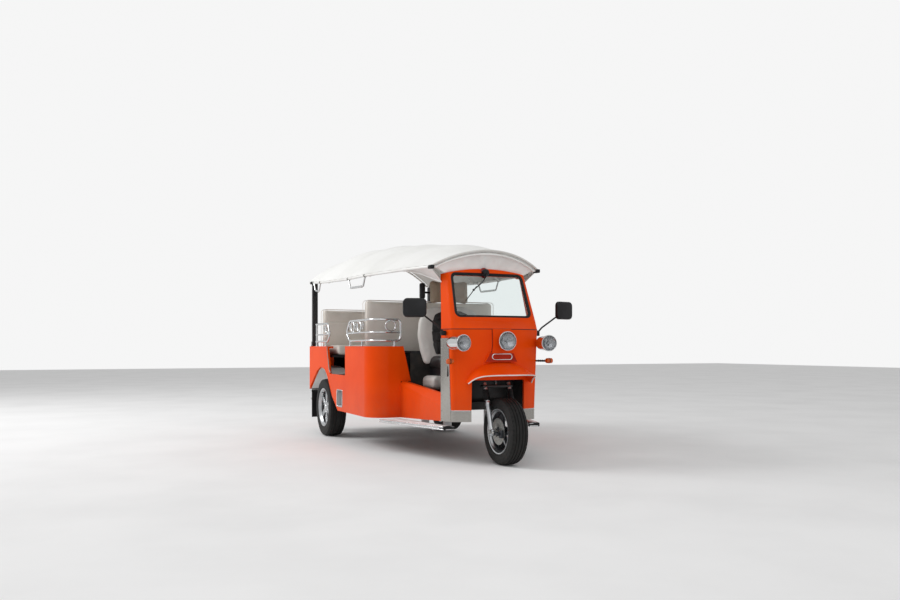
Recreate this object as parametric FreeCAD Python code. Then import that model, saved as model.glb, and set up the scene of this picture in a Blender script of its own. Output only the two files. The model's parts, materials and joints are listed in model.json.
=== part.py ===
import FreeCAD, Part
import math
import os

V = FreeCAD.Vector

# Frame. Sizes in mm, X to the vehicle's left, Y rearwards, Z up from the ground.
# Everything is drawn with Y = 0 at the front axle and moved by SHIFT_Y when it is written,
# so that the origin lies on the ground under the middle of the whole vehicle.

# Wheels and stance
WHEELBASE = 2650.0
FRONT_TYRE_R = 260.0
FRONT_TYRE_W = 145.0
FRONT_RIM_R = 171.0
REAR_TYRE_R = 293.0
REAR_TYRE_W = 175.0
REAR_RIM_R = 191.0
BODY_HALF_W = 745.0            # side panels' outer faces
REAR_WHEEL_X = BODY_HALF_W - REAR_TYRE_W / 2 - 2.0
REAR_END = WHEELBASE + 680.0    # rearmost point of the bumper
SHIFT_Y = (FRONT_TYRE_R - REAR_END) / 2

# Clearances
RUNNING_GAP = 0.05             # a turning fit, on the radius
SEAT_GAP = 0.3                 # curved faces that lie on one another
SHEET = 20.0                   # wall of the body's panels
PLATE = 4.0                    # steel and aluminium plates

# Front fork and steering
RAKE = math.radians(18.0)
AXIS_BACK = 45.0               # steering axis behind the wheel's centre, at axle height
LEG_BACK = 27.0                # fork legs behind the wheel's centre, at axle height
LEG_X = 105.0
SLIDER_R = 22.0
STANCHION_R = 16.0
BOOT_R = (23.0, 28.0)          # rubber boot at a groove and at a rib
BOOT_LOW_Z = 494.0
FRONT_AXLE_R = 10.0
YOKE_Z = 592.0
YOKE_T = 26.0
STEM_R = 14.0
HEAD_TUBE_R = 26.0
HEAD_TUBE_Z = (664.0, 800.0)
BAR_Z = 1020.0
BAR_R = 13.0
GRIP_R = 17.0

# Cab front, seen from above: a shallow bow between two rounded corners and short sides
NOSE_BOTTOM_Z = 419.0
SEAM_Z = 1056.0
NOSE_TOP = dict(half=389.0, corner_y=165.0, bow_y=66.0, side_half=408.0)
NOSE_LOW = dict(half=372.0, corner_y=182.0, bow_y=84.0, side_half=408.0)
CAB_SIDE_Y = 315.0             # rear edge of the cab's sides
NOSE_CORNER_R = 34.0
ARCH_HALF = 232.0              # front wheel opening
ARCH_TOP_Z = 655.0
CAB_BOTTOM_Z = 328.0

# Windshield
GLASS_T = 5.0
RAKE_TOP = dict(half=352.0, corner_y=352.0, bow_y=338.0, side_half=366.0)
RAKE_LOW = dict(half=384.0, corner_y=184.0, bow_y=166.0, side_half=402.0)
APRON_TOP_Z = 1122.0
SURROUND_TOP_Z = 1550.0
SURROUND_DEPTH = 78.0          # the top's sides behind its corners
WINDOW_LOW_Z = 1146.0
WINDOW_TOP_Z = SURROUND_TOP_Z - 38.0
WINDOW_HALF = (342.0, 322.0)   # opening's half width, low and high
WINDOW_R = 46.0
SEAL_W = 20.0
SEAL_T = 26.0

# Floors and seats
CAB_FLOOR_Z = 480.0
FLOOR_T = 16.0
PASSENGER_FLOOR_Z = 640.0
PANEL_BOTTOM_Z = 298.0
PANEL_TOP_Z = 922.0
MID_PANEL_FRONT_Y = 1090.0
MID_PANEL_REAR_Y = WHEELBASE - 806.0
MID_PANEL_INNER_X = BODY_HALF_W - 283.0
MID_PANEL_R = 175.0
DECK_Z = 880.0
DECK_T = 18.0
MID_BACK_Y = WHEELBASE - 1150.0
REAR_BACK_Y = WHEELBASE + 250.0
MID_BENCH_DEEP = 385.0         # backrest and cushion together
REAR_SEAT_DEEP = 470.0
BACK_T = 95.0
PAD_R = 24.0                   # rounded edges of the benches' cushions
BENCH_HALF = BODY_HALF_W - 87.0
CUSHION_Z = (830.0, 935.0)
BACK_TOP_Z = (1351.0, 1322.0)  # middle and rear backrest
REAR_BODY_Y = WHEELBASE + 598.0
REAR_CORNER_R = 60.0
REAR_PANEL_BOTTOM_Z = 459.0

# Roof: edge y, crown y, half width, edge z, crown z
EAVES_Z = SURROUND_TOP_Z
ROOF_SECTIONS = [
    (335.0, 255.0, 482.0, EAVES_Z + 18, EAVES_Z + 150),
    (720.0, 700.0, BODY_HALF_W - 140, EAVES_Z + 15, EAVES_Z + 238),
    (1400.0, 1400.0, BODY_HALF_W - 62, EAVES_Z + 24, EAVES_Z + 318),
    (WHEELBASE - 650, WHEELBASE - 650, BODY_HALF_W - 48, EAVES_Z + 30, EAVES_Z + 375),
    (WHEELBASE + 50, WHEELBASE + 50, BODY_HALF_W - 39, EAVES_Z + 54, EAVES_Z + 410),
    (WHEELBASE + 666, WHEELBASE + 650, BODY_HALF_W - 29, EAVES_Z + 90, EAVES_Z + 375),
]
CANOPY_T = 16.0
ROOF_TUBE_R = 12.0
POST_X = (BODY_HALF_W - 89.0, BODY_HALF_W - 33.0)
POST_Y = (REAR_BODY_Y - 62.0, REAR_BODY_Y - 22.0)
LEDGE_W = 64.0                 # flange along the side panels' tops


def fused(shapes):
    """Join shapes that touch into one solid."""
    joined = shapes[0]
    if len(shapes) > 1:
        joined = joined.multiFuse(shapes[1:])
    return joined.removeSplitter()


def together(shapes):
    """Solids that share a node and don't touch."""
    solids = []
    for shape in shapes:
        solids.extend(shape.Solids)
    return Part.makeCompound(solids)


def mirrored(shape):
    """The same piece on the other side of the vehicle."""
    return shape.mirror(V(0, 0, 0), V(1, 0, 0))


def pair(shape):
    """A right and a left piece in one node."""
    return together([shape, mirrored(shape)])


def box(xs, ys, zs):
    """A block between three pairs of limits."""
    low = V(min(xs), min(ys), min(zs))
    return Part.makeBox(abs(xs[1] - xs[0]), abs(ys[1] - ys[0]), abs(zs[1] - zs[0]), low)


def rod(start, end, radius):
    """A round bar between two points."""
    start, end = V(*start), V(*end)
    return Part.makeCylinder(radius, (end - start).Length, start, end - start)


def prism(points, axis, low, high):
    """An outline of straight edges pushed along an axis, from low to high."""
    place = {"x": lambda a, b: V(low, a, b), "y": lambda a, b: V(a, low, b), "z": lambda a, b: V(a, b, low)}[axis]
    corners = [place(a, b) for a, b in points]
    face = Part.Face(Part.makePolygon(corners + corners[:1]))
    push = {"x": V(high - low, 0, 0), "y": V(0, high - low, 0), "z": V(0, 0, high - low)}[axis]
    return face.extrude(push)


def bend_path(points, bend):
    """Straight runs joined by tangent arcs, as a wire."""
    corners = [V(*point) for point in points]
    edges = []
    last = corners[0]
    for before, corner, after in zip(corners, corners[1:], corners[2:]):
        back = (before - corner).normalize()
        ahead = (after - corner).normalize()
        half_turn = back.getAngle(ahead) / 2
        reach = bend / math.tan(half_turn)
        start = corner + back * reach
        end = corner + ahead * reach
        toward = (back + ahead).normalize()
        middle = corner + toward * (bend / math.sin(half_turn) - bend)
        edges.append(Part.LineSegment(last, start).toShape())
        edges.append(Part.Arc(start, middle, end).toShape())
        last = end
    edges.append(Part.LineSegment(last, corners[-1]).toShape())
    return Part.Wire(edges)


def tube(points, radius, bend):
    """A bent round tube, drawn as a full bar."""
    path = bend_path(points, bend)
    along = V(*points[1]) - V(*points[0])
    disc = Part.Face(Part.Wire([Part.makeCircle(radius, V(*points[0]), along)]))
    return path.makePipe(disc)


def revolved_x(outline, centre):
    """An outline of (x, radius) points turned about a line along X through centre."""
    corners = [V(x, 0, r) for x, r in outline]
    face = Part.Face(Part.makePolygon(corners + corners[:1]))
    solid = face.revolve(V(0, 0, 0), V(1, 0, 0), 360)
    solid.translate(V(*centre))
    return solid


def on_axis(z):
    """The steering axis at a height."""
    return V(0, AXIS_BACK + (z - FRONT_TYRE_R) * math.tan(RAKE), z)


def on_leg(side, z):
    """A fork leg's centre at a height."""
    return V(side * LEG_X, LEG_BACK + (z - FRONT_TYRE_R) * math.tan(RAKE), z)


def cab_outline(plan, rear_y, z, inset=0.0):
    """A closed outline of the cab at one height: bowed front, round corners, straight sides."""
    half = plan["half"] - inset
    corner_y = plan["corner_y"] + inset
    bow_y = plan["bow_y"] + inset
    side = plan["side_half"] - inset
    radius = max(NOSE_CORNER_R - inset, 8.0)
    front_x = half - radius
    front_y = corner_y - radius * 0.25
    turn_y = corner_y + radius * 0.9
    mid_x = half - radius * 0.26
    mid_y = corner_y + radius * 0.18

    def at(x, y):
        return V(x, y, z)

    edges = [
        Part.Arc(at(-front_x, front_y), at(0, bow_y), at(front_x, front_y)).toShape(),
        Part.Arc(at(front_x, front_y), at(mid_x, mid_y), at(half, turn_y)).toShape(),
        Part.LineSegment(at(half, turn_y), at(side, rear_y)).toShape(),
        Part.LineSegment(at(side, rear_y), at(-side, rear_y)).toShape(),
        Part.LineSegment(at(-side, rear_y), at(-half, turn_y)).toShape(),
        Part.Arc(at(-half, turn_y), at(-mid_x, mid_y), at(-front_x, front_y)).toShape(),
    ]
    return Part.Wire(edges)


def blend_plan(low, high, share):
    """A cab plan between two others."""
    return {key: low[key] + (high[key] - low[key]) * share for key in low}


def nose_solid(inset=0.0, low_z=NOSE_BOTTOM_Z, high_z=SEAM_Z, rear_y=CAB_SIDE_Y):
    """The cab's lower front as a full block, shrunk by an inset."""
    span = SEAM_Z - NOSE_BOTTOM_Z
    plans = [blend_plan(NOSE_LOW, NOSE_TOP, (z - NOSE_BOTTOM_Z) / span) for z in (low_z, high_z)]
    wires = [cab_outline(plan, rear_y, z, inset) for plan, z in zip(plans, (low_z, high_z))]
    return Part.makeLoft(wires, True, True)


def nose_panel():
    shell = nose_solid().cut(nose_solid(SHEET, NOSE_BOTTOM_Z - 10, SEAM_Z + 10, CAB_SIDE_Y + 30))
    arch = box((-ARCH_HALF, ARCH_HALF), (-200, CAB_SIDE_Y + 60), (NOSE_BOTTOM_Z - 20, ARCH_TOP_Z))
    return shell.cut(arch)


CENTRE_PROUD = 20.0            # raised strip of the nose


def nose_centre():
    """The raised middle strip that carries the head lamp, flaring over the mudguard."""
    strip = [(-78, SEAM_Z), (78, SEAM_Z), (74, 925), (84, 850), (104, 808), (-104, 808), (-84, 850), (-74, 925)]
    block = prism(strip, "y", -40, CAB_SIDE_Y)
    proud = nose_solid(-CENTRE_PROUD, NOSE_BOTTOM_Z, SEAM_Z, CAB_SIDE_Y)
    return block.common(proud).cut(nose_solid(0.0, NOSE_BOTTOM_Z - 10, SEAM_Z + 10))


GUARD_TOP_Z = 806.0
GUARD_LIP_Z = 700.0
GUARD_LOW_Z = 626.0
GUARD_T = 10.0
GUARD_HALF = 246.0
GUARD_TOP_HALF = 150.0


def guard_solid(inset=0.0):
    """The scoop over the front wheel as a full block: dome above, skirts behind the lip."""
    half = GUARD_HALF - inset
    top_half = GUARD_TOP_HALF - inset
    lip = -150.0 + inset
    top_front = 48.0 + inset
    back = 220.0

    def outline(half_x, corner_y, bow_y, z):
        edges = [
            Part.Arc(V(-half_x, corner_y, z), V(0, bow_y, z), V(half_x, corner_y, z)).toShape(),
            Part.LineSegment(V(half_x, corner_y, z), V(half_x, back, z)).toShape(),
            Part.LineSegment(V(half_x, back, z), V(-half_x, back, z)).toShape(),
            Part.LineSegment(V(-half_x, back, z), V(-half_x, corner_y, z)).toShape(),
        ]
        return Part.Wire(edges)

    low = outline(half, 10.0, lip, GUARD_LIP_Z - (20 if inset else 0))
    shoulder = outline((half + top_half) / 2 + 14, 24.0 + inset, lip * 0.5, GUARD_LIP_Z + 62 - inset)
    top = outline(top_half, 60.0 + inset, top_front, GUARD_TOP_Z - inset)
    return Part.makeLoft([low, shoulder, top], True, True)


def mudguard():
    dome = guard_solid().cut(guard_solid(GUARD_T))
    skirt_outline = [(10, GUARD_LIP_Z), (220, GUARD_LIP_Z), (220, GUARD_LOW_Z), (150, GUARD_LOW_Z)]
    skirt = prism(skirt_outline, "x", -GUARD_HALF, -GUARD_HALF + GUARD_T)
    whole = fused([dome, skirt, mirrored(skirt)])
    return whole.cut(nose_solid(-SEAT_GAP, NOSE_BOTTOM_Z - 10, SEAM_Z + 10, CAB_SIDE_Y + 30))


def steel_plates():
    """Bright plates: the kick plate under the nose and the strips on the cab's sides."""
    plan = dict(NOSE_LOW)
    skin = Part.makeLoft([cab_outline(plan, CAB_SIDE_Y, z) for z in (CAB_BOTTOM_Z, NOSE_BOTTOM_Z)], True, True)
    hollow = Part.makeLoft(
        [cab_outline(plan, CAB_SIDE_Y + 30, z, 8.0) for z in (CAB_BOTTOM_Z - 10, NOSE_BOTTOM_Z + 10)], True, True)
    arch = box((-ARCH_HALF, ARCH_HALF), (-100, CAB_SIDE_Y + 60), (CAB_BOTTOM_Z - 20, NOSE_BOTTOM_Z + 20))
    kick = skin.cut(hollow).cut(arch)
    strip_block = nose_solid(-PLATE, CAB_BOTTOM_Z, 985.0)
    strip_block = strip_block.cut(nose_solid(0.0, CAB_BOTTOM_Z - 10, SEAM_Z))
    strip = strip_block.common(box((-460, -300), (NOSE_TOP["corner_y"] + 42, CAB_SIDE_Y), (CAB_BOTTOM_Z, 985)))
    return fused([kick, strip, mirrored(strip)])


def surround_solid(inset=0.0):
    """The windshield's frame as a full block: an apron over the nose, then the raked front."""
    rows = [
        (NOSE_TOP, CAB_SIDE_Y, SEAM_Z),
        (RAKE_LOW, CAB_SIDE_Y + 14, APRON_TOP_Z),
        (RAKE_TOP, RAKE_TOP["corner_y"] + SURROUND_DEPTH, SURROUND_TOP_Z),
    ]
    wires = [cab_outline(plan, rear + (40 if inset else 0), z, inset) for plan, rear, z in rows]
    return Part.makeLoft(wires, True, True)


def window_plane_y(z):
    """The raked front's face in the middle of the cab, at a height."""
    share = (z - APRON_TOP_Z) / (SURROUND_TOP_Z - APRON_TOP_Z)
    return RAKE_LOW["corner_y"] + (RAKE_TOP["corner_y"] - RAKE_LOW["corner_y"]) * share


def window_block(inset, depth_front, depth_back):
    """The window's outline as a slab square to the raked glass."""
    tilt = math.atan2(window_plane_y(WINDOW_TOP_Z) - window_plane_y(WINDOW_LOW_Z), WINDOW_TOP_Z - WINDOW_LOW_Z)
    height = (WINDOW_TOP_Z - WINDOW_LOW_Z) / math.cos(tilt) - 2 * inset
    low, high = WINDOW_HALF[0] - inset, WINDOW_HALF[1] - inset
    corners = [V(-low, 0, 0), V(low, 0, 0), V(high, 0, height), V(-high, 0, height)]
    wire = Part.makePolygon(corners + corners[:1])
    slab = Part.Face(wire).extrude(V(0, depth_front + depth_back, 0))
    uprights = [edge for edge in slab.Edges if abs(edge.tangentAt(edge.FirstParameter).y) > 0.9]
    slab = slab.makeFillet(max(WINDOW_R - inset, 6.0), uprights)
    slab.translate(V(0, -depth_front, inset))
    slab.rotate(V(0, 0, 0), V(1, 0, 0), -math.degrees(tilt))
    slab.translate(V(0, window_plane_y(WINDOW_LOW_Z), WINDOW_LOW_Z))
    return slab


def windshield_surround():
    shell = surround_solid().cut(surround_solid(SHEET))
    roofline_r = 1540.0
    dome = Part.makeCylinder(roofline_r, 900, V(0, -100, SURROUND_TOP_Z - roofline_r), V(0, 1, 0))
    cap = surround_solid().common(box((-500, 500), (-100, 600), (SURROUND_TOP_Z - 70, SURROUND_TOP_Z)))
    cap = cap.cut(box((-500, 500), (RAKE_TOP["corner_y"] + 40, 700), (0, SURROUND_TOP_Z - 44)))
    shell = fused([shell, cap]).common(dome)
    return shell.cut(window_block(0.0, 90, 90))


def windshield_seal():
    outer = window_block(SEAT_GAP, SEAL_T * 0.45, SEAL_T * 0.55)
    return outer.cut(window_block(SEAL_W, 60, 60))


def windshield_glass():
    return window_block(SEAL_W + SEAT_GAP / 3, GLASS_T / 2, GLASS_T / 2)


HEAD_LAMP = dict(x=0.0, y=-46.0, z=961.0, r=68.0, back=26.0)
SIDE_LAMP = dict(x=372.0, y=-42.0, z=946.0, r=60.0, back=128.0)
LENS_T = 8.0


def lamp_bucket(lamp, tail_r):
    """A round bucket open in front, with a rolled rim."""
    centre = V(lamp["x"], 0, lamp["z"])
    front, back, radius = lamp["y"], lamp["back"], lamp["r"]
    wall = 6.0
    points = [
        (radius - wall, front), (radius, front), (radius, front + 14), (radius - 7, front + 18),
        (radius - 9, back - 34), (tail_r, back), (0, back), (0, back - wall),
        (tail_r - wall, back - wall), (radius - 9 - wall, back - 36), (radius - 8 - wall, front + 24),
        (radius - wall, front + 12),
    ]
    corners = [V(r, y, 0) for r, y in points]
    face = Part.Face(Part.makePolygon(corners + corners[:1]))
    solid = face.revolve(V(0, 0, 0), V(0, 1, 0), 360)
    solid.translate(centre)
    return solid


def lamp_buckets():
    head = lamp_bucket(HEAD_LAMP, 44.0)
    foot = rod((0, HEAD_LAMP["back"] - 2, HEAD_LAMP["z"]), (0, 90, HEAD_LAMP["z"]), 20.0)
    head = fused([head, foot]).cut(nose_solid(-CENTRE_PROUD - SEAT_GAP))
    side = lamp_bucket(SIDE_LAMP, 30.0)
    arm_x, arm_z = SIDE_LAMP["x"], SIDE_LAMP["z"]
    arm = rod((arm_x, SIDE_LAMP["back"] - 3, arm_z), (arm_x - 26, 190, arm_z), 12.0)
    side = fused([side, arm]).cut(nose_solid(-SEAT_GAP))
    return together([head, side, mirrored(side)])


def lamp_lens(lamp):
    """A shallow domed glass held inside the rim."""
    radius = lamp["r"] - 6.0 - SEAT_GAP
    dome_r = radius * 3.0
    centre_y = lamp["y"] + 2.0 + dome_r - 10.0
    dome = Part.makeSphere(dome_r, V(lamp["x"], centre_y, lamp["z"]))
    disc = Part.makeCylinder(radius, 40.0, V(lamp["x"], lamp["y"] - 26, lamp["z"]), V(0, 1, 0))
    back = Part.makeCylinder(radius + 5, 60.0, V(lamp["x"], lamp["y"] + LENS_T + 4, lamp["z"]), V(0, 1, 0))
    return dome.common(disc).cut(back)


def lamp_lenses():
    side = lamp_lens(SIDE_LAMP)
    return together([lamp_lens(HEAD_LAMP), side, mirrored(side)])


INDICATOR = dict(x=437.0, y=75.0, z=805.0, r=22.0, length=58.0)


def indicators():
    """Turn lamps on short stalks from the nose's corners."""
    ind = INDICATOR
    body = rod((ind["x"] - ind["length"] / 2, ind["y"], ind["z"]), (ind["x"] + ind["length"] / 2, ind["y"], ind["z"]),
               ind["r"])
    stalk = rod((ind["x"] - 18, ind["y"], ind["z"]), (ind["x"] - 72, 190, ind["z"]), 8.0)
    return pair(fused([body, stalk]).cut(nose_solid(-SEAT_GAP)))


MIRROR = dict(x=669.0, y=205.0, z=1219.0, w=186.0, h=150.0, t=34.0)


def mirrors():
    """Door mirrors on bent arms that are clamped to the cab's side."""
    x, y, z = MIRROR["x"], MIRROR["y"], MIRROR["z"]
    head = box((x - MIRROR["w"] / 2, x + MIRROR["w"] / 2), (y, y + MIRROR["t"]),
               (z - MIRROR["h"] / 2, z + MIRROR["h"] / 2))
    corners = [edge for edge in head.Edges if abs(edge.tangentAt(edge.FirstParameter).y) > 0.9]
    head = head.makeFillet(36.0, corners)
    front = [edge for edge in head.Edges if edge.BoundBox.YMax < y + 1]
    head = head.makeFillet(10.0, front)
    clamp_x = NOSE_TOP["side_half"] + PLATE + 14
    clamp_z = SEAM_Z - 26
    arm = tube([(clamp_x, y + 40, clamp_z), (clamp_x + 40, y + 35, clamp_z + 42), (x - 40, y + 18, z - 30)], 7.0, 30.0)
    clamp = box((NOSE_TOP["side_half"] - 20, clamp_x + 12), (y + 20, y + 60), (clamp_z - 25, clamp_z + 15))
    whole = fused([head, arm, clamp])
    return pair(whole.cut(nose_solid(-SEAT_GAP, NOSE_BOTTOM_Z, SEAM_Z + 40)))


WIPER_R = 5.0                  # arm and blade


def wiper():
    """The wiper's motor cover on the frame's crown, with its arm and blade over the glass."""
    z = WINDOW_TOP_Z + 6
    y = window_plane_y(z)
    cover = Part.makeCylinder(30.0, 44.0, V(-18, y - 26, z), V(0, 1, 0))
    cap = Part.makeSphere(30.0, V(-18, y - 26, z))
    elbow_z, tip_z = z - 78, z - 146
    high_z, low_z = z - 118, z - 228
    arm = tube([(-18, y - 34, z - 10), (-60, window_plane_y(elbow_z) - 34, elbow_z),
                (-150, window_plane_y(tip_z) - 24, tip_z)], WIPER_R, 20.0)
    blade = rod((-120, window_plane_y(high_z) - 17, high_z), (-226, window_plane_y(low_z) - 17, low_z), WIPER_R)
    whole = fused([cover, cap, arm, blade])
    return whole.cut(surround_solid(-SEAT_GAP)).cut(box((-400, 400), (window_plane_y(1100), 900), (0, 1100)))


DASH_REAR_Y = 208.0            # ahead of the turned handlebar
DASH_Z = 1084.0


def dash_panel():
    """The shelf and instrument panel behind the windshield's foot."""
    inside = surround_solid(SHEET + SEAT_GAP)
    shelf = box((-370, 370), (60, DASH_REAR_Y), (DASH_Z - 18, DASH_Z))
    face = prism([(DASH_REAR_Y - 12, DASH_Z), (DASH_REAR_Y, DASH_Z), (DASH_REAR_Y + 12, DASH_Z - 124),
                  (DASH_REAR_Y, DASH_Z - 124)], "x", -300, 300)
    return fused([shelf.common(inside), face])


WELL_Y = 300.0                 # upright wall behind the front wheel
TOE_Y = 440.0                  # foot of the sloping toe board
TOE_TOP_Z = 880.0
SILL_INNER_X = 330.0
SILL_TOP_FRONT_Z = 533.0
SILL_TOP_REAR_Z = 614.0
FRAME_FRONT_Y = 400.0


def wheel_housing():
    """The black well round the front wheel, with the toe board behind it."""
    t = 8.0
    low_z = CAB_FLOOR_Z - FLOOR_T
    slope = prism([(TOE_Y - t, low_z), (TOE_Y, low_z), (WELL_Y + t, ARCH_TOP_Z), (WELL_Y, ARCH_TOP_Z)],
                  "x", -SILL_INNER_X + SEAT_GAP, SILL_INNER_X - SEAT_GAP)
    upright = box((-400, 400), (WELL_Y, WELL_Y + t), (SILL_TOP_FRONT_Z + SEAT_GAP, TOE_TOP_Z))
    upright = upright.cut(box((-ARCH_HALF, ARCH_HALF), (0, 500), (0, ARCH_TOP_Z)))
    top = box((-ARCH_HALF - t, ARCH_HALF + t), (0, WELL_Y + 1), (ARCH_TOP_Z, ARCH_TOP_Z + t))
    side = prism([(0, CAB_BOTTOM_Z), (WELL_Y, CAB_BOTTOM_Z), (TOE_Y - t, low_z), (WELL_Y, ARCH_TOP_Z),
                  (0, ARCH_TOP_Z)], "x", -ARCH_HALF - t, -ARCH_HALF)
    side = side.cut(box((-500, 0), (FRAME_FRONT_Y - SEAT_GAP, 600), (0, low_z)))
    well = fused([slope, upright, top, side, mirrored(side)])
    hole = rod(tuple(on_axis(ARCH_TOP_Z - 60)), tuple(on_axis(ARCH_TOP_Z + 60)), HEAD_TUBE_R + SEAT_GAP)
    inside = nose_solid(SHEET + SEAT_GAP, CAB_BOTTOM_Z - 10, SEAM_Z, TOE_Y + 60)
    return well.cut(hole).common(inside)


def fork():
    """Telescopic fork: sliders with axle lugs, stanchions, lower yoke and the stem."""
    parts = []
    foot_z = FRONT_TYRE_R - 34
    for side in (-1, 1):
        slider = rod(tuple(on_leg(side, foot_z)), tuple(on_leg(side, BOOT_LOW_Z - 2)), SLIDER_R)
        stanchion = rod(tuple(on_leg(side, BOOT_LOW_Z - 14)), tuple(on_leg(side, YOKE_Z + YOKE_T + 2)), STANCHION_R)
        lug = box((side * (LEG_X - 12), side * (LEG_X + SLIDER_R)), (-24, LEG_BACK),
                  (FRONT_TYRE_R - 20, FRONT_TYRE_R + 20))
        parts.extend([slider, stanchion, lug])
    middle = on_axis(YOKE_Z)
    yoke = box((-LEG_X - 28, LEG_X + 28), (middle.y - 34, middle.y + 26), (YOKE_Z, YOKE_Z + YOKE_T))
    stem = rod(tuple(on_axis(YOKE_Z + 4)), tuple(on_axis(BAR_Z)), STEM_R)
    whole = fused(parts + [yoke, stem])
    bore = Part.makeCylinder(FRONT_AXLE_R, 400, V(-200, 0, FRONT_TYRE_R), V(1, 0, 0))
    return whole.cut(bore)


def fork_gaiters():
    """Ribbed rubber boots over the stanchions."""
    boots = []
    low, high = on_leg(1, BOOT_LOW_Z), on_leg(1, YOKE_Z - 14)
    length = (high - low).Length
    ribs = 5
    step = length / ribs
    points = [(STANCHION_R + SEAT_GAP, 0.0)]
    for rib in range(ribs):
        points.append((BOOT_R[0], rib * step + step * 0.1))
        points.append((BOOT_R[1], rib * step + step * 0.5))
        points.append((BOOT_R[0], rib * step + step * 0.9))
    points.append((STANCHION_R + SEAT_GAP, length))
    for side in (-1, 1):
        corners = [V(r, 0, h) for r, h in points]
        face = Part.Face(Part.makePolygon(corners + corners[:1]))
        boot = face.revolve(V(0, 0, 0), V(0, 0, 1), 360)
        boot.rotate(V(0, 0, 0), V(1, 0, 0), -math.degrees(RAKE))
        boot.translate(on_leg(side, BOOT_LOW_Z))
        boots.append(boot)
    return together(boots)


def front_axle():
    end_x = LEG_X + SLIDER_R
    axle = Part.makeCylinder(FRONT_AXLE_R, 2 * end_x, V(-end_x, 0, FRONT_TYRE_R), V(1, 0, 0))
    nuts = []
    for side in (-1, 1):
        nuts.append(Part.makeCylinder(16.0, 10.0, V(side * end_x, 0, FRONT_TYRE_R), V(side, 0, 0)))
    return fused([axle] + nuts)


BAR_GRIP = dict(x=286.0, back=178.0, up=34.0)


def handlebar():
    """The bar on the stem's head, swept back to the grips, with an instrument pod."""
    hub = on_axis(BAR_Z)
    end = V(BAR_GRIP["x"], hub.y + BAR_GRIP["back"], BAR_Z + BAR_GRIP["up"])
    points = [(-end.x, end.y, end.z), (-end.x + 120, hub.y + 60, end.z), (-60, hub.y + 4, BAR_Z + 14),
              (60, hub.y + 4, BAR_Z + 14), (end.x - 120, hub.y + 60, end.z), (end.x, end.y, end.z)]
    bar = tube(points, BAR_R, 34.0)
    clamp = rod(tuple(on_axis(BAR_Z - 30)), tuple(on_axis(BAR_Z + 30)), 26.0)
    pod = box((-48, 48), (hub.y - 20, hub.y + 36), (BAR_Z + 24, BAR_Z + 70))
    whole = fused([bar, clamp, pod])
    return whole.cut(rod(tuple(on_axis(BAR_Z - 60)), tuple(on_axis(BAR_Z)), STEM_R))


def handlebar_grips():
    hub = on_axis(BAR_Z)
    grips = []
    for side in (-1, 1):
        end = V(side * BAR_GRIP["x"], hub.y + BAR_GRIP["back"], BAR_Z + BAR_GRIP["up"])
        inner = V(side * (BAR_GRIP["x"] - 120), hub.y + 60, BAR_Z + BAR_GRIP["up"])
        along = (inner - end).normalize()
        sleeve = rod(tuple(end - along * 6), tuple(end + along * 112), GRIP_R)
        grips.append(sleeve.cut(rod(tuple(end), tuple(end + along * 130), BAR_R)))
    return together(grips)


SHOULDER = 26.0                 # a tyre's rounded corner
BEAD_INSET = 14.0              # from the wall's bulge in to the rim


def wheel_tyre(radius, width, rim_r, x):
    """A tyre with rounded shoulders and bulged walls."""
    half = width / 2
    bead = rim_r - 8.0
    wall = (radius + rim_r) / 2
    profile = [
        (half - SHOULDER, radius), (half - 9, radius - 8), (half - 2, radius - SHOULDER), (half, wall),
        (half - BEAD_INSET, rim_r), (half - BEAD_INSET - 8, bead),
    ]
    outline = profile + [(-px, pr) for px, pr in reversed(profile)]
    return revolved_x(outline, (x, 0, 0))


def wheel_rim(rim_r, width, hub_r, hub_half, bore_r, spokes, face_x, x):
    """A cast wheel: barrel with two lips, hub and a ring of spokes. face_x is the spokes' offset."""
    half = width / 2
    bead = rim_r - 8.0 - SEAT_GAP
    outline = [
        (-half + 20, bead), (-half + 10, rim_r - SEAT_GAP), (-half + 10, rim_r + 5), (-half + 4, rim_r + 5),
        (-half + 4, rim_r - 8), (-half + 30, rim_r - 24), (half - 30, rim_r - 24), (half - 4, rim_r - 8),
        (half - 4, rim_r + 5), (half - 10, rim_r + 5), (half - 10, rim_r - SEAT_GAP), (half - 20, bead),
    ]
    barrel = revolved_x(outline, (0, 0, 0))
    hub = Part.makeCylinder(hub_r, 2 * hub_half, V(-hub_half, 0, 0), V(1, 0, 0))
    arms = []
    for index in range(spokes):
        outline = [(-17.0, 0.0), (17.0, 0.0), (26.0, rim_r - 18.0), (-26.0, rim_r - 18.0)]
        arm = prism(outline, "x", face_x - 8, face_x + 8)
        arm.rotate(V(0, 0, 0), V(1, 0, 0), 360.0 * index / spokes)
        arms.append(arm)
    whole = fused([barrel, hub] + arms)
    whole = whole.cut(Part.makeCylinder(bore_r + RUNNING_GAP, 4 * width, V(-2 * width, 0, 0), V(1, 0, 0)))
    whole.translate(V(x, 0, 0))
    return whole


def placed(shape, y, z):
    shape = shape.copy()
    shape.translate(V(0, y, z))
    return shape


def front_tyre():
    return placed(wheel_tyre(FRONT_TYRE_R, FRONT_TYRE_W, FRONT_RIM_R, 0), 0, FRONT_TYRE_R)


def front_rim():
    rim = wheel_rim(FRONT_RIM_R, FRONT_TYRE_W, 34.0, 62.0, FRONT_AXLE_R, 5, -14.0, 0)
    disc = Part.makeCylinder(104.0, 4.0, V(-62, 0, 0), V(1, 0, 0))
    disc = disc.cut(Part.makeCylinder(33.0, 40.0, V(-80, 0, 0), V(1, 0, 0)))
    disc = disc.cut(Part.makeCylinder(FRONT_AXLE_R + RUNNING_GAP, 200.0, V(-100, 0, 0), V(1, 0, 0)))
    return placed(fused([rim, disc]), 0, FRONT_TYRE_R)


REAR_STUB_R = 18.0


def rear_tyre(side):
    return placed(wheel_tyre(REAR_TYRE_R, REAR_TYRE_W, REAR_RIM_R, side * REAR_WHEEL_X), WHEELBASE, REAR_TYRE_R)


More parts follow.
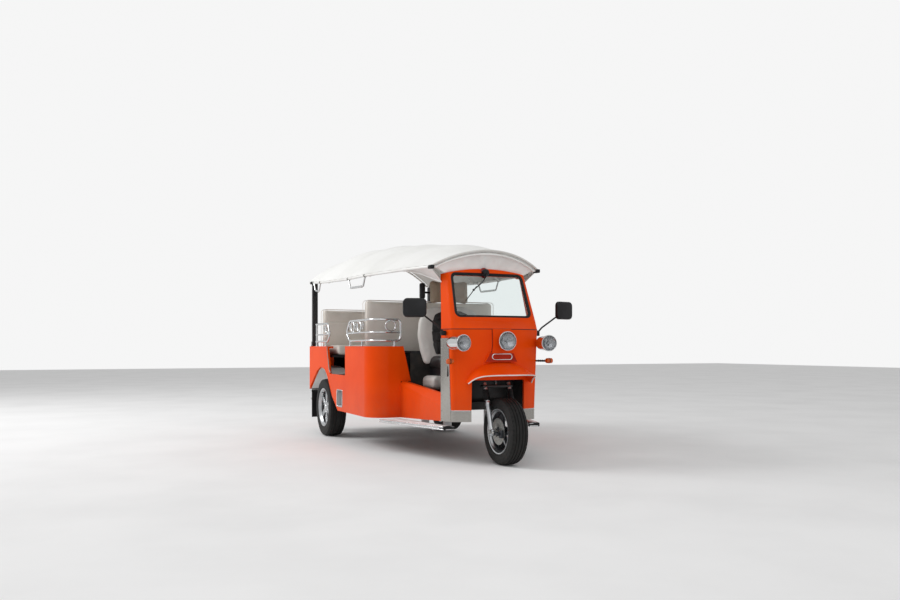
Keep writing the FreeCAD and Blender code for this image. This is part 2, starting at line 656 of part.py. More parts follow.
def rear_rim(side):
    rim = wheel_rim(REAR_RIM_R, REAR_TYRE_W, 46.0, 56.0, REAR_STUB_R, 6, side * 44.0, 0)
    cap = Part.makeCylinder(30.0, 12.0, V(side * 52, 0, 0), V(side, 0, 0))
    cap = cap.cut(Part.makeCylinder(REAR_STUB_R + RUNNING_GAP, 6.0, V(side * 52, 0, 0), V(side, 0, 0)))
    rim = fused([rim, cap])
    rim.translate(V(side * REAR_WHEEL_X, 0, 0))
    return placed(rim, WHEELBASE, REAR_TYRE_R)


RAIL_X = (270.0, 330.0)
RAIL_END_Y = REAR_BODY_Y - 58.0
RAIL_LOW_Z = (400.0, 464.0)
RAIL_HIGH_Z = (544.0, PASSENGER_FLOOR_Z - FLOOR_T)
CROSS_T = 50.0
CROSS_HALF = BODY_HALF_W - 55.0
STAY_X = ARCH_HALF + 32.0      # tubes that carry the steering head, outside the wheel well


def chassis_frame():
    """Two side rails that step up over the rear axle, cross-members and the steering head."""
    front_y, kick_y = FRAME_FRONT_Y, MID_PANEL_FRONT_Y
    rail = prism([(front_y, RAIL_LOW_Z[0]), (kick_y + 60, RAIL_LOW_Z[0]), (kick_y + 180, RAIL_HIGH_Z[0]),
                  (RAIL_END_Y, RAIL_HIGH_Z[0]), (RAIL_END_Y, RAIL_HIGH_Z[1]), (kick_y + 130, RAIL_HIGH_Z[1]),
                  (kick_y + 10, RAIL_LOW_Z[1]), (front_y, RAIL_LOW_Z[1])], "x", RAIL_X[0], RAIL_X[1])
    cross = []
    for y in (640.0, 1000.0):
        cross.append(box((-RAIL_X[0], RAIL_X[0]), (y, y + CROSS_T), (RAIL_LOW_Z[0] + 6, RAIL_LOW_Z[1] - 6)))
    for y in (MID_PANEL_FRONT_Y + 210, WHEELBASE - 750, WHEELBASE - 450, WHEELBASE + 450):
        cross.append(box((-CROSS_HALF, CROSS_HALF), (y, y + CROSS_T), (RAIL_HIGH_Z[0] + 10, RAIL_HIGH_Z[1])))
    front = box((-RAIL_X[1], RAIL_X[1]), (FRAME_FRONT_Y, FRAME_FRONT_Y + 40), (RAIL_LOW_Z[0], RAIL_LOW_Z[1]))
    low, high = on_axis(HEAD_TUBE_Z[0]), on_axis(HEAD_TUBE_Z[1])
    head = rod(tuple(low), tuple(high), HEAD_TUBE_R)
    stays = []
    for side in (-1, 1):
        x = side * STAY_X
        stays.append(tube([(x, FRAME_FRONT_Y + 20, 432), (x, 262, 432), (x, 262, 750),
                           (side * 10, on_axis(750).y, 750)], 16.0, 50.0))
    whole = fused([rail, mirrored(rail), front, head] + cross + stays)
    return whole.cut(rod(tuple(on_axis(560)), tuple(on_axis(900)), STEM_R + RUNNING_GAP))


DRUM_INSET = 64.0               # brake drum's outer face, inboard of the wheel's centre
DRUM_R = 92.0
DRUM_W = 34.0
STUB_REACH = 102.0
AXLE_TUBE_R = 34.0
POT_R = 112.0                   # differential housing
POT_HALF = 84.0


def rear_axle():
    """Live axle: tubes, differential housing, brake drums and the stubs that the wheels turn on."""
    drum_x = REAR_WHEEL_X - DRUM_INSET
    half = [
        (drum_x + STUB_REACH, 0), (drum_x + STUB_REACH, REAR_STUB_R), (drum_x, REAR_STUB_R), (drum_x, DRUM_R),
        (drum_x - DRUM_W, DRUM_R), (drum_x - DRUM_W, AXLE_TUBE_R), (POT_HALF, AXLE_TUBE_R),
        (POT_HALF - 12, 0.72 * POT_R), (0.45 * POT_HALF, 0.94 * POT_R), (0.15 * POT_HALF, POT_R),
    ]
    outline = half + [(-x, r) for x, r in reversed(half)]
    return revolved_x(outline, (0, WHEELBASE, REAR_TYRE_R))


SPRING_X = (274.0, 326.0)
SPRING_Y = (WHEELBASE - 420.0, WHEELBASE + 420.0)
SPRING_Z = (470.0, 338.0)      # at the eyes and over the axle
SPRING_T = 24.0


def leaf_springs():
    """A bowed leaf pack under each rail, its eyes hung from the rail and clamped over the axle."""
    eye_f = V(0, SPRING_Y[0], SPRING_Z[0])
    eye_r = V(0, SPRING_Y[1], SPRING_Z[0])
    mid = V(0, WHEELBASE, SPRING_Z[1])
    up = V(0, 0, SPRING_T)
    edges = [
        Part.Arc(eye_f, mid, eye_r).toShape(),
        Part.LineSegment(eye_r, eye_r + up).toShape(),
        Part.Arc(eye_r + up, mid + up, eye_f + up).toShape(),
        Part.LineSegment(eye_f + up, eye_f).toShape(),
    ]
    leaf = Part.Face(Part.Wire(edges)).extrude(V(SPRING_X[1] - SPRING_X[0], 0, 0))
    leaf.translate(V(SPRING_X[0], 0, 0))
    hangers = []
    for y in SPRING_Y:
        hangers.append(box(SPRING_X, (y - 26, y + 26), (SPRING_Z[0] - 14, RAIL_HIGH_Z[0])))
    clamp = box((SPRING_X[0] - 8, SPRING_X[1] + 8), (WHEELBASE - 46, WHEELBASE + 46),
                (REAR_TYRE_R + 34 + SEAT_GAP, SPRING_Z[1] + SPRING_T + 12))
    return pair(fused([leaf, clamp] + hangers))


def drive_motor():
    """The electric motor, a closed round housing in front of the differential."""
    return Part.makeCylinder(95.0, 250.0, V(0, WHEELBASE - 112 - 250, REAR_TYRE_R + 20), V(0, 1, 0))


def battery_box():
    """The closed battery under the deck behind the driver."""
    return box((-420, 420), (MID_PANEL_FRONT_Y + 75, MID_BACK_Y - 35), (PASSENGER_FLOOR_Z, DECK_Z - 30))


def side_sills():
    """The cab's sills: a wide bevel in front that closes up to a plain wall at the rear."""
    front_x, rear_x = NOSE_LOW["side_half"], MID_PANEL_INNER_X + 4
    rows = [
        (CAB_SIDE_Y, [(-front_x, CAB_BOTTOM_Z), (-front_x, 450), (-front_x + 56, SILL_TOP_FRONT_Z),
                      (-SILL_INNER_X, SILL_TOP_FRONT_Z), (-SILL_INNER_X, CAB_BOTTOM_Z)]),
        (MID_PANEL_FRONT_Y - SEAT_GAP, [(-rear_x, PANEL_BOTTOM_Z), (-rear_x, 598), (-rear_x + 16, SILL_TOP_REAR_Z),
                                        (-400, SILL_TOP_REAR_Z), (-400, PANEL_BOTTOM_Z)]),
    ]
    wires = []
    for y, outline in rows:
        corners = [V(x, y, z) for x, z in outline]
        wires.append(Part.makePolygon(corners + corners[:1]))
    return pair(Part.makeLoft(wires, True, True))


def cab_floor():
    """The driver's floor between the sills."""
    inner = SILL_INNER_X - SEAT_GAP
    rear_y = MID_PANEL_FRONT_Y - 16
    outline = [(-inner, TOE_Y + SEAT_GAP), (inner, TOE_Y + SEAT_GAP), (392, rear_y), (-392, rear_y)]
    return prism(outline, "z", CAB_FLOOR_Z - FLOOR_T, CAB_FLOOR_Z)


BOARD_REAR_Y = MID_PANEL_FRONT_Y - 12
RUNNING_BOARD = [(83 - BODY_HALF_W, BOARD_REAR_Y), (-440, 250), (-424, 212), (-336, 222),
                 (-8 - MID_PANEL_INNER_X, BOARD_REAR_Y)]
BOARD_Z = (264.0, 290.0)


def running_boards():
    """Bright steps under the cab doors, cranked in towards the front."""
    board = prism(RUNNING_BOARD, "z", BOARD_Z[0], BOARD_Z[1])
    hangers = []
    for y in (420.0, 900.0):
        x = 340 + (y - 222) * 0.157
        hangers.append(box((-x - 60, -x), (y, y + 36), (BOARD_Z[0] - 16, BOARD_Z[0])))
        hangers.append(box((-RAIL_X[0], -x - 30), (y, y + 36), (BOARD_Z[0] - 16, BOARD_Z[0])))
        hangers.append(box((-RAIL_X[1], -RAIL_X[0]), (y, y + 36), (BOARD_Z[0] - 16, RAIL_LOW_Z[0])))
    return pair(fused([board] + hangers))


def mid_panel_wire(inset, z):
    """The middle panel's plan, as a closed loop that is its wall's outer or inner face."""
    x = BODY_HALF_W - inset
    y = MID_PANEL_FRONT_Y + inset
    radius = MID_PANEL_R - inset
    diagonal = radius * (1 - math.sqrt(0.5))
    edges = [
        Part.LineSegment(V(-x, MID_PANEL_REAR_Y, z), V(-x, y + radius, z)).toShape(),
        Part.Arc(V(-x, y + radius, z), V(-x + diagonal, y + diagonal, z), V(-x + radius, y, z)).toShape(),
        Part.LineSegment(V(-x + radius, y, z), V(-MID_PANEL_INNER_X, y, z)).toShape(),
        Part.LineSegment(V(-MID_PANEL_INNER_X, y, z), V(-MID_PANEL_INNER_X, MID_PANEL_REAR_Y, z)).toShape(),
        Part.LineSegment(V(-MID_PANEL_INNER_X, MID_PANEL_REAR_Y, z), V(-x, MID_PANEL_REAR_Y, z)).toShape(),
    ]
    return Part.Wire(edges)


def mid_panels():
    """The round-cornered side panels behind the driver's doors, with a ledge along the top."""
    height = PANEL_TOP_Z - PANEL_BOTTOM_Z
    outer = Part.Face(mid_panel_wire(0, PANEL_BOTTOM_Z)).extrude(V(0, 0, height))
    hollow = Part.Face(mid_panel_wire(SHEET, PANEL_BOTTOM_Z - 5)).extrude(V(0, 0, height - SHEET + 5))
    wall = outer.cut(hollow)
    void = box((-BODY_HALF_W + LEDGE_W, 0), (MID_PANEL_FRONT_Y + LEDGE_W, MID_PANEL_REAR_Y + 5), (0, 2000))
    edge = MID_PANEL_INNER_X
    wing = prism([(-edge, PANEL_TOP_Z), (-edge, SILL_TOP_REAR_Z), (-edge + 96, SILL_TOP_REAR_Z),
                  (-edge + 26, PANEL_TOP_Z)], "y", MID_PANEL_FRONT_Y + 4, MID_PANEL_FRONT_Y + 4 + SHEET)
    return pair(fused([wall.cut(void), wing]))


# Rear wheel opening, (y, z) from its low front corner over the top to the rear corner
ARCH = [(WHEELBASE - 568, PANEL_BOTTOM_Z), (WHEELBASE - 354, 436), (WHEELBASE - 194, 619), (WHEELBASE - 90, 690),
        (WHEELBASE + 75, 712), (WHEELBASE + 210, 672), (WHEELBASE + 360, 583), (REAR_BODY_Y - REAR_CORNER_R, 464)]
QUARTER_Y = WHEELBASE - 176.0   # front of the rear quarter at its top
SILL_TOP_Z = PASSENGER_FLOOR_Z + 6.0


def rear_fenders():
    """The rear side panels: entry sill, angular wheel opening and the tall rear quarter."""
    rear_y = REAR_BODY_Y - REAR_CORNER_R
    outline = [(MID_PANEL_REAR_Y, PANEL_BOTTOM_Z)] + ARCH + [
        (rear_y, PANEL_TOP_Z), (QUARTER_Y, PANEL_TOP_Z), (QUARTER_Y - 70, SILL_TOP_Z + 38),
        (QUARTER_Y - 94, SILL_TOP_Z), (MID_PANEL_REAR_Y, SILL_TOP_Z)]
    panel = prism(outline, "x", -BODY_HALF_W, -BODY_HALF_W + SHEET)
    ledge = box((-BODY_HALF_W + SHEET, -BODY_HALF_W + LEDGE_W), (QUARTER_Y, rear_y),
                (PANEL_TOP_Z - SHEET, PANEL_TOP_Z))
    return pair(fused([panel, ledge]).cut(step_pocket(0)))


STEP_Y = (MID_PANEL_REAR_Y + 88.0, WHEELBASE - 540.0)
STEP_Z = (344.0, 498.0)
STEP_DEEP = 92.0


def step_pocket(inset):
    """The foothold's outline through the side panel."""
    return box((-BODY_HALF_W - 10, -BODY_HALF_W + STEP_DEEP - inset), (STEP_Y[0] + inset, STEP_Y[1] - inset),
               (STEP_Z[0] + inset, STEP_Z[1] - inset))


def step_recesses():
    """Open boxes behind the panel that hold a foot, each with a tread plate."""
    shell = box((-BODY_HALF_W + 1, -BODY_HALF_W + STEP_DEEP), (STEP_Y[0] + SEAT_GAP, STEP_Y[1] - SEAT_GAP),
                (STEP_Z[0] + SEAT_GAP, STEP_Z[1] - SEAT_GAP))
    return pair(shell.cut(step_pocket(PLATE)))


def wheel_liners():
    """Curved inner wells over the rear wheels."""
    t = 8.0
    inner_x = -REAR_WHEEL_X + REAR_TYRE_W / 2 + 24
    outer = [(y, z + t) for y, z in ARCH]
    strip = prism(ARCH + outer[::-1], "x", -BODY_HALF_W + SHEET + SEAT_GAP, inner_x)
    wall_outline = ARCH + [(ARCH[-1][0], 400), (ARCH[0][0] + 58, PANEL_BOTTOM_Z)]
    wall = prism(wall_outline, "x", inner_x, inner_x + t)
    return pair(fused([strip, wall]).cut(box((-BODY_HALF_W, 0), (0, WHEELBASE - 250), (0, PASSENGER_FLOOR_Z))))


def passenger_floor():
    """The raised floor, notched round the wheel wells."""
    inner_x = REAR_WHEEL_X - REAR_TYRE_W / 2 - 36
    side_x = BODY_HALF_W - SHEET - SEAT_GAP
    front_y, rear_y = MID_PANEL_FRONT_Y + 180, REAR_BODY_Y - 22
    notch_y, wall_y = WHEELBASE - 230, MID_PANEL_FRONT_Y + 28
    outline = [(-side_x, front_y), (side_x, front_y), (side_x, notch_y), (inner_x, notch_y), (inner_x, rear_y),
               (-inner_x, rear_y), (-inner_x, notch_y), (-side_x, notch_y)]
    plate = prism(outline, "z", PASSENGER_FLOOR_Z - FLOOR_T, PASSENGER_FLOOR_Z)
    front = box((-MID_PANEL_INNER_X + 100, MID_PANEL_INNER_X - 100), (wall_y, wall_y + FLOOR_T),
                (CAB_FLOOR_Z, DECK_Z - DECK_T))
    for side in (-1, 1):
        front = front.cut(box((side * (RAIL_X[0] - SEAT_GAP), side * (RAIL_X[1] + SEAT_GAP)),
                              (wall_y - FLOOR_T, wall_y + 2 * FLOOR_T), (0, RAIL_HIGH_Z[0] + FLOOR_T)))
    link_x = MID_PANEL_INNER_X - 22
    link = box((-link_x, link_x), (wall_y, front_y + 2), (PASSENGER_FLOOR_Z - FLOOR_T, PASSENGER_FLOOR_Z))
    return fused([plate, link, front])


def bench_plinths():
    """Boxes that carry the two benches, and the deck behind the driver."""
    side = BENCH_HALF - 8
    low = PASSENGER_FLOOR_Z
    mid_end = MID_BACK_Y + MID_BENCH_DEEP - 55
    mid = box((-side, side), (MID_BACK_Y, mid_end), (low, CUSHION_Z[0])).cut(
        box((-side + SHEET, side - SHEET), (MID_BACK_Y + SHEET, mid_end - SHEET), (low - 5, CUSHION_Z[0] - SHEET)))
    deck_side = BENCH_HALF - 4
    deck = box((-deck_side, deck_side), (MID_PANEL_FRONT_Y + 50, MID_BACK_Y), (DECK_Z - DECK_T, DECK_Z))
    post = box((-deck_side, deck_side), (MID_BACK_Y - DECK_T, MID_BACK_Y), (low, DECK_Z - DECK_T))
    inner_x = REAR_WHEEL_X - REAR_TYRE_W / 2 - 36
    top_x = BENCH_HALF + 30
    front_y, back_y = REAR_BACK_Y - REAR_SEAT_DEEP + 26, REAR_BACK_Y + 96
    rear = box((-inner_x, inner_x), (front_y, front_y + SHEET), (low, CUSHION_Z[0])).fuse(
        box((-top_x, top_x), (front_y, back_y), (CUSHION_Z[0] - SHEET, CUSHION_Z[0])))
    back = box((-inner_x, inner_x), (back_y - SHEET, back_y), (low, CUSHION_Z[0] - SHEET))
    return together([fused([mid, deck, post]), fused([rear, back])])


def soft_block(xs, ys, zs, radius):
    """A cushion: a block with all its edges rounded."""
    block = box(xs, ys, zs)
    return block.makeFillet(radius, block.Edges)


def mid_cushion():
    return soft_block((-BENCH_HALF, BENCH_HALF), (MID_BACK_Y + BACK_T + SEAT_GAP, MID_BACK_Y + MID_BENCH_DEEP),
                      (CUSHION_Z[0] + SEAT_GAP, CUSHION_Z[1]), PAD_R)


def mid_back():
    return soft_block((-BENCH_HALF, BENCH_HALF), (MID_BACK_Y + SEAT_GAP, MID_BACK_Y + BACK_T),
                      (CUSHION_Z[0] + SEAT_GAP, BACK_TOP_Z[0]), PAD_R)


def rear_cushion():
    return soft_block((-BENCH_HALF, BENCH_HALF), (REAR_BACK_Y - REAR_SEAT_DEEP, REAR_BACK_Y - SEAT_GAP),
                      (CUSHION_Z[0] + SEAT_GAP, CUSHION_Z[1]), PAD_R)


def rear_back():
    return soft_block((-BENCH_HALF - 20, BENCH_HALF + 20), (REAR_BACK_Y, REAR_BACK_Y + BACK_T),
                      (CUSHION_Z[0] + SEAT_GAP, BACK_TOP_Z[1]), PAD_R)


DRIVER_HALF = 235.0
DRIVER_SEAT_Z = (735.0, 830.0)
DRIVER_BACK_Y = 1004.0
DRIVER_BACK_H = 500.0
BACK_LEAN = 5.0                # driver's backrest, degrees
HEAD_HALF = 150.0


def driver_seat_base():
    """The black pedestal under the driver's seat."""
    seat_z = DRIVER_SEAT_Z[0]
    outline = [(800, CAB_FLOOR_Z), (1072, CAB_FLOOR_Z), (1088, seat_z), (840, seat_z)]
    return prism(outline, "x", -190, 190)


def driver_cushion():
    low, high = DRIVER_SEAT_Z
    return soft_block((-DRIVER_HALF, DRIVER_HALF), (770, 1098), (low + SEAT_GAP, high), 28.0)


def driver_backrest():
    """A high bucket backrest with its head cushion, leaning back."""
    thick, round_r = 92.0, 30.0
    back = soft_block((-DRIVER_HALF, DRIVER_HALF), (0, thick), (0, DRIVER_BACK_H), round_r)
    head = soft_block((-HEAD_HALF, HEAD_HALF), (6, thick - 6), (DRIVER_BACK_H + 8, DRIVER_BACK_H + 200), 28.0)
    neck = []
    for x in (-60, 60):
        neck.append(rod((x, thick / 2, DRIVER_BACK_H - 20), (x, thick / 2, DRIVER_BACK_H + 30), 7.0))
    whole = fused([back, head] + neck)
    whole.rotate(V(0, 0, 0), V(1, 0, 0), -BACK_LEAN)
    lean = math.radians(BACK_LEAN)
    rise = (thick - round_r) * math.sin(lean) + round_r * (math.cos(lean) - 1) + SEAT_GAP
    whole.translate(V(0, DRIVER_BACK_Y, DRIVER_SEAT_Z[1] + rise))
    return whole


def tail_panel():
    """The rear face with its two round corners."""
    def plan(inset):
        x = BODY_HALF_W - inset
        y = REAR_BODY_Y - inset
        radius = REAR_CORNER_R - inset
        diagonal = radius * (1 - math.sqrt(0.5))
        front = REAR_BODY_Y - REAR_CORNER_R
        edges = [
            Part.LineSegment(V(-x, front, 0), V(x, front, 0)).toShape(),
            Part.Arc(V(x, front, 0), V(x - diagonal, y - diagonal, 0), V(x - radius, y, 0)).toShape(),
            Part.LineSegment(V(x - radius, y, 0), V(-x + radius, y, 0)).toShape(),
            Part.Arc(V(-x + radius, y, 0), V(-x + diagonal, y - diagonal, 0), V(-x, front, 0)).toShape(),
        ]
        return Part.Face(Part.Wire(edges))
    outer = plan(0).extrude(V(0, 0, PANEL_TOP_Z - REAR_PANEL_BOTTOM_Z))
    outer.translate(V(0, 0, REAR_PANEL_BOTTOM_Z))
    inner = plan(SHEET).extrude(V(0, 0, PANEL_TOP_Z - SHEET))
    open_top = box((-BODY_HALF_W + LEDGE_W, BODY_HALF_W - LEDGE_W), (0, REAR_BODY_Y - LEDGE_W), (0, 2000))
    return outer.cut(inner).cut(open_top)


TAIL_LAMP_T = 34.0


def tail_lamps():
    """Upright rear lamp clusters."""
    outer_x = BODY_HALF_W - 105
    lamp = box((-outer_x, -outer_x + 100), (REAR_BODY_Y, REAR_BODY_Y + TAIL_LAMP_T), (640, 850))
    rear = [edge for edge in lamp.Edges if edge.BoundBox.YMin > REAR_BODY_Y + TAIL_LAMP_T - 1]
    return pair(lamp.makeFillet(9.0, rear))


BUMPER_R = 17.0
BUMPER_Z = (345.0, 432.0)


def rear_bumper():
    """Two bright tubes with turned-in ends, on brackets from the rails."""
    tubes = []
    y = REAR_END - BUMPER_R
    end_x = BODY_HALF_W - 43
    for z in BUMPER_Z:
        tubes.append(tube([(-end_x, y - 104, z), (-end_x, y, z), (end_x, y, z), (end_x, y - 104, z)], BUMPER_R, 60.0))
    joins = []
    for x in (-500, -300, 300, 500):
        joins.append(rod((x, y, BUMPER_Z[0]), (x, y, BUMPER_Z[1]), 11.0))
    for side in (-1, 1):
        bracket = (side * (RAIL_X[0] + 15), side * (RAIL_X[1] - 15))
        joins.append(box(bracket, (RAIL_END_Y, y), (BUMPER_Z[1] - 14, BUMPER_Z[1] + 14)))
        joins.append(box(bracket, (RAIL_END_Y - 40, RAIL_END_Y), (BUMPER_Z[1] - 14, RAIL_HIGH_Z[0])))
    return fused(tubes + joins)


def mudflaps():
    front = REAR_BODY_Y - REAR_CORNER_R + SEAT_GAP
    flap = box((-REAR_WHEEL_X - 66, -REAR_WHEEL_X + 66), (front, front + 6), (150, 470))
    return pair(flap)


RAIL_R = 10.0
RAIL_LEVELS = (1045.0, 1165.0)
RING_R = 51.0
RING_TUBE_R = 7.0


def armrest_rails():
    """Bright rails round the bench sides: stacked tubes on posts, with rings between them."""
    side_x = -BODY_HALF_W + LEDGE_W / 2
    front_y = MID_PANEL_FRONT_Y + LEDGE_W / 2
    end_x = -MID_PANEL_INNER_X - 14
    last_y = MID_PANEL_REAR_Y - 60
    foot_z = PANEL_TOP_Z
    parts = []
    for z in RAIL_LEVELS:
        parts.append(tube([(side_x, last_y + 16, z), (side_x, front_y, z), (end_x + 14, front_y, z)], RAIL_R, 150.0))
    for x, y in ((side_x, last_y), (side_x, MID_BACK_Y - 80), (end_x, front_y)):
        parts.append(rod((x, y, foot_z), (x, y, RAIL_LEVELS[1] + 1), RAIL_R - 1))
    middle_z = sum(RAIL_LEVELS) / 2
    parts.append(Part.makeTorus(RING_R, RING_TUBE_R, V(end_x - 90, front_y, middle_z), V(0, 1, 0)))
    for y in (MID_BACK_Y + 60, MID_BACK_Y + 180):
        parts.append(Part.makeTorus(RING_R, RING_TUBE_R, V(side_x, y, middle_z), V(1, 0, 0)))
    mid = fused(parts)
    high, low = RAIL_LEVELS[1], RAIL_LEVELS[0]
    bend_y, end_y = REAR_BACK_Y - 340, REAR_BACK_Y + 130
    rear_parts = [tube([(side_x, end_y, high), (side_x, bend_y, high), (side_x, bend_y - 60, middle_z),
                        (side_x, bend_y, low), (side_x, end_y, low)], RAIL_R, 46.0)]
    for y in (end_y - 16, bend_y + 120):
        rear_parts.append(rod((side_x, y, foot_z), (side_x, y, RAIL_LEVELS[1] + 1), RAIL_R - 1))
    rear_parts.append(Part.makeTorus(RING_R, RING_TUBE_R, V(side_x, bend_y + 32, middle_z), V(1, 0, 0)))
    rear = fused(rear_parts)
    return together([mid, mirrored(mid), rear, mirrored(rear)])


def canopy():
    """The white roof skin: a shell that swells from the front bow to the rear."""
    wires = []
    for edge_y, crown_y, half, edge_z, crown_z in ROOF_SECTIONS:
        rise = V(0, crown_y - edge_y, crown_z - edge_z).normalize()
        left, crown, right = V(-half, edge_y, edge_z), V(0, crown_y, crown_z), V(half, edge_y, edge_z)
        low_left = left + V(CANOPY_T, 0, 0)
        low_right = right - V(CANOPY_T, 0, 0)
        wires.append(Part.Wire([
            Part.Arc(left, crown, right).toShape(),
            Part.LineSegment(right, low_right).toShape(),
            Part.Arc(low_right, crown - rise * CANOPY_T, low_left).toShape(),
            Part.LineSegment(low_left, left).toShape(),
        ]))
    return Part.makeLoft(wires, True, True)


BOW_R = 9.0
ELBOW_R = 11.0                 # round fitting where a bow's foot turns out to the side tube
ELBOW_LONG = 20.0
BOW_GAP = 1.6                  # room for the skin's slight folds at each bow


def roof_tube_at(y):
    """Centre of the right side tube, which lies under the skin's edge, at a place along the roof."""
    for row, after in zip(ROOF_SECTIONS, ROOF_SECTIONS[1:]):
        if y <= after[0] or after is ROOF_SECTIONS[-1]:
            share = (y - row[0]) / (after[0] - row[0])
            half = row[2] + (after[2] - row[2]) * share
            edge_z = row[3] + (after[3] - row[3]) * share
            return V(-half + CANOPY_T / 2, y, edge_z - ROOF_TUBE_R - SEAT_GAP)


def roof_side_tube(radius):
    """The right side tube at a radius."""
    return tube([tuple(roof_tube_at(row[0])) for row in ROOF_SECTIONS], radius, 300.0)


def roof_frame():
    """Side tubes under the roof's edges, tied by bows inside the skin."""
    side = roof_side_tube(ROOF_TUBE_R)
    bows = []
    for index, row in enumerate(ROOF_SECTIONS):
        edge_y, crown_y, half, edge_z, crown_z = row
        shift = 13 if index == 0 else (-16 if index == len(ROOF_SECTIONS) - 1 else 0)
        joint = roof_tube_at(edge_y + shift)
        left = V(-half + 2 * CANOPY_T + BOW_R, joint.y, joint.z)
        right = V(-left.x, left.y, left.z)
        crown = V(0, crown_y + shift, crown_z - CANOPY_T - BOW_R - BOW_GAP - abs(shift) * 0.6)
        path = Part.Wire([Part.Arc(left, crown, right).toShape()])
        start = path.Edges[0]
        disc = Part.Face(Part.Wire([Part.makeCircle(BOW_R, left, start.tangentAt(start.FirstParameter))]))
        bows.append(path.makePipe(disc))
        stub = rod(tuple(joint), tuple(left), BOW_R)
        elbow = Part.makeCylinder(ELBOW_R, ELBOW_LONG, left - V(0, ELBOW_LONG / 2, 0), V(0, 1, 0))
        bows.extend([stub, elbow, mirrored(stub), mirrored(elbow)])
    return fused([side, mirrored(side)] + bows)


def rear_posts():
    """Flat black posts from the rear body to the roof's rear bow."""
    top = roof_tube_at(POST_Y[0]).z - ROOF_TUBE_R - SEAT_GAP
    post = box((-POST_X[1], -POST_X[0]), POST_Y, (PANEL_TOP_Z, top))
    return pair(post)


def front_fascia():
    """The white underside of the visor between the windshield frame and the front bow."""
    def bow(half, edge_y, edge_z, crown_y, crown_z):
        return Part.Arc(V(-half, edge_y, edge_z), V(0, crown_y, crown_z), V(half, edge_y, edge_z)).toShape()
    low = bow(356, 372, SURROUND_TOP_Z - 38, 356, SURROUND_TOP_Z + 1)
    high = bow(440, 362, EAVES_Z + 10, 286, EAVES_Z + 118)
    return Part.makeRuledSurface(low, high).extrude(V(0, 12, 0))


HANDLE_R = 8.0
HANDLE_SLANT = 60.0
HANDLE_DROP = 92.0             # grip's centre below the roof tube's


def grab_handles():
    """Tube handles hung under the roof's side edges."""
    handles = []
    for low_y, high_y in ((MID_BACK_Y - 60, MID_BACK_Y + 420), (REAR_BACK_Y, REAR_BACK_Y + 260)):
        low, high = roof_tube_at(low_y), roof_tube_at(high_y)
        slant, drop = V(0, HANDLE_SLANT, 0), V(0, 0, HANDLE_DROP)
        corners = [low, low + slant - drop, high - slant - drop, high]
        handle = tube([tuple(corner) for corner in corners], HANDLE_R, 22.0)
        handles.append(handle.cut(roof_side_tube(ROOF_TUBE_R + SEAT_GAP)))
    return together(handles + [mirrored(handle) for handle in handles])


BUILDERS = {
    "chassis_frame": chassis_frame,
    "rear_axle": rear_axle,
    "leaf_springs": leaf_springs,
    "drive_motor": drive_motor,
    "battery_box": battery_box,
    "cab_floor": cab_floor,
    "wheel_housing": wheel_housing,
    "nose_panel": nose_panel,
    "nose_centre": nose_centre,
    "mudguard": mudguard,
    "steel_plates": steel_plates,
    "windshield_surround": windshield_surround,
    "windshield_seal": windshield_seal,
    "windshield_glass": windshield_glass,
    "lamp_buckets": lamp_buckets,
    "lamp_lenses": lamp_lenses,
    "indicators": indicators,
    "mirrors": mirrors,
    "wiper": wiper,
    "dash_panel": dash_panel,
    "driver_seat_base": driver_seat_base,
    "driver_cushion": driver_cushion,
    "driver_backrest": driver_backrest,
    "side_sills": side_sills,
    "running_boards": running_boards,
    "mid_panels": mid_panels,
    "rear_fenders": rear_fenders,
    "wheel_liners": wheel_liners,
    "step_recesses": step_recesses,
    "tail_panel": tail_panel,
    "tail_lamps": tail_lamps,
    "rear_bumper": rear_bumper,
    "mudflaps": mudflaps,
    "passenger_floor": passenger_floor,
    "bench_plinths": bench_plinths,
    "mid_cushion": mid_cushion,
    "mid_back": mid_back,
    "rear_cushion": rear_cushion,
    "rear_back": rear_back,
    "armrest_rails": armrest_rails,
    "canopy": canopy,
    "roof_frame": roof_frame,
    "rear_posts": rear_posts,
    "front_fascia": front_fascia,
    "grab_handles": grab_handles,
    "fork": fork,
    "fork_gaiters": fork_gaiters,
    "front_axle": front_axle,
    "handlebar": handlebar,
    "handlebar_grips": handlebar_grips,
    "front_tyre": front_tyre,
    "front_rim": front_rim,
    "rear_tyre_right": lambda: rear_tyre(-1),
    "rear_rim_right": lambda: rear_rim(-1),
    "rear_tyre_left": lambda: rear_tyre(1),
    "rear_rim_left": lambda: rear_rim(1),
}

os.makedirs("parts", exist_ok=True)
for name, build in BUILDERS.items():
    shape = build()
    shape = shape.copy()
    shape.translate(V(0, SHIFT_Y, 0))
    bounds = shape.optimalBoundingBox()
    print(name, "solids", len(shape.Solids), "valid", shape.isValid(), "litres", round(shape.Volume / 1e6, 2),
          "x", round(bounds.XMin), round(bounds.XMax), "y", round(bounds.YMin - SHIFT_Y),
          round(bounds.YMax - SHIFT_Y), "z", round(bounds.ZMin), round(bounds.ZMax))
    shape.exportStep("parts/" + name + ".step")
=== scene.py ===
# %% [markdown]
# An electric auto rickshaw has a steel cab in front, an open body with two benches, and a white
# fabric roof on a tube frame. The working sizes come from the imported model, which is loaded first.
# Everything below is dressed onto it, so no piece needs to be fitted by eye.

# %% Load the model
import json
import math

import bmesh
import bpy
from mathutils import Matrix, Vector

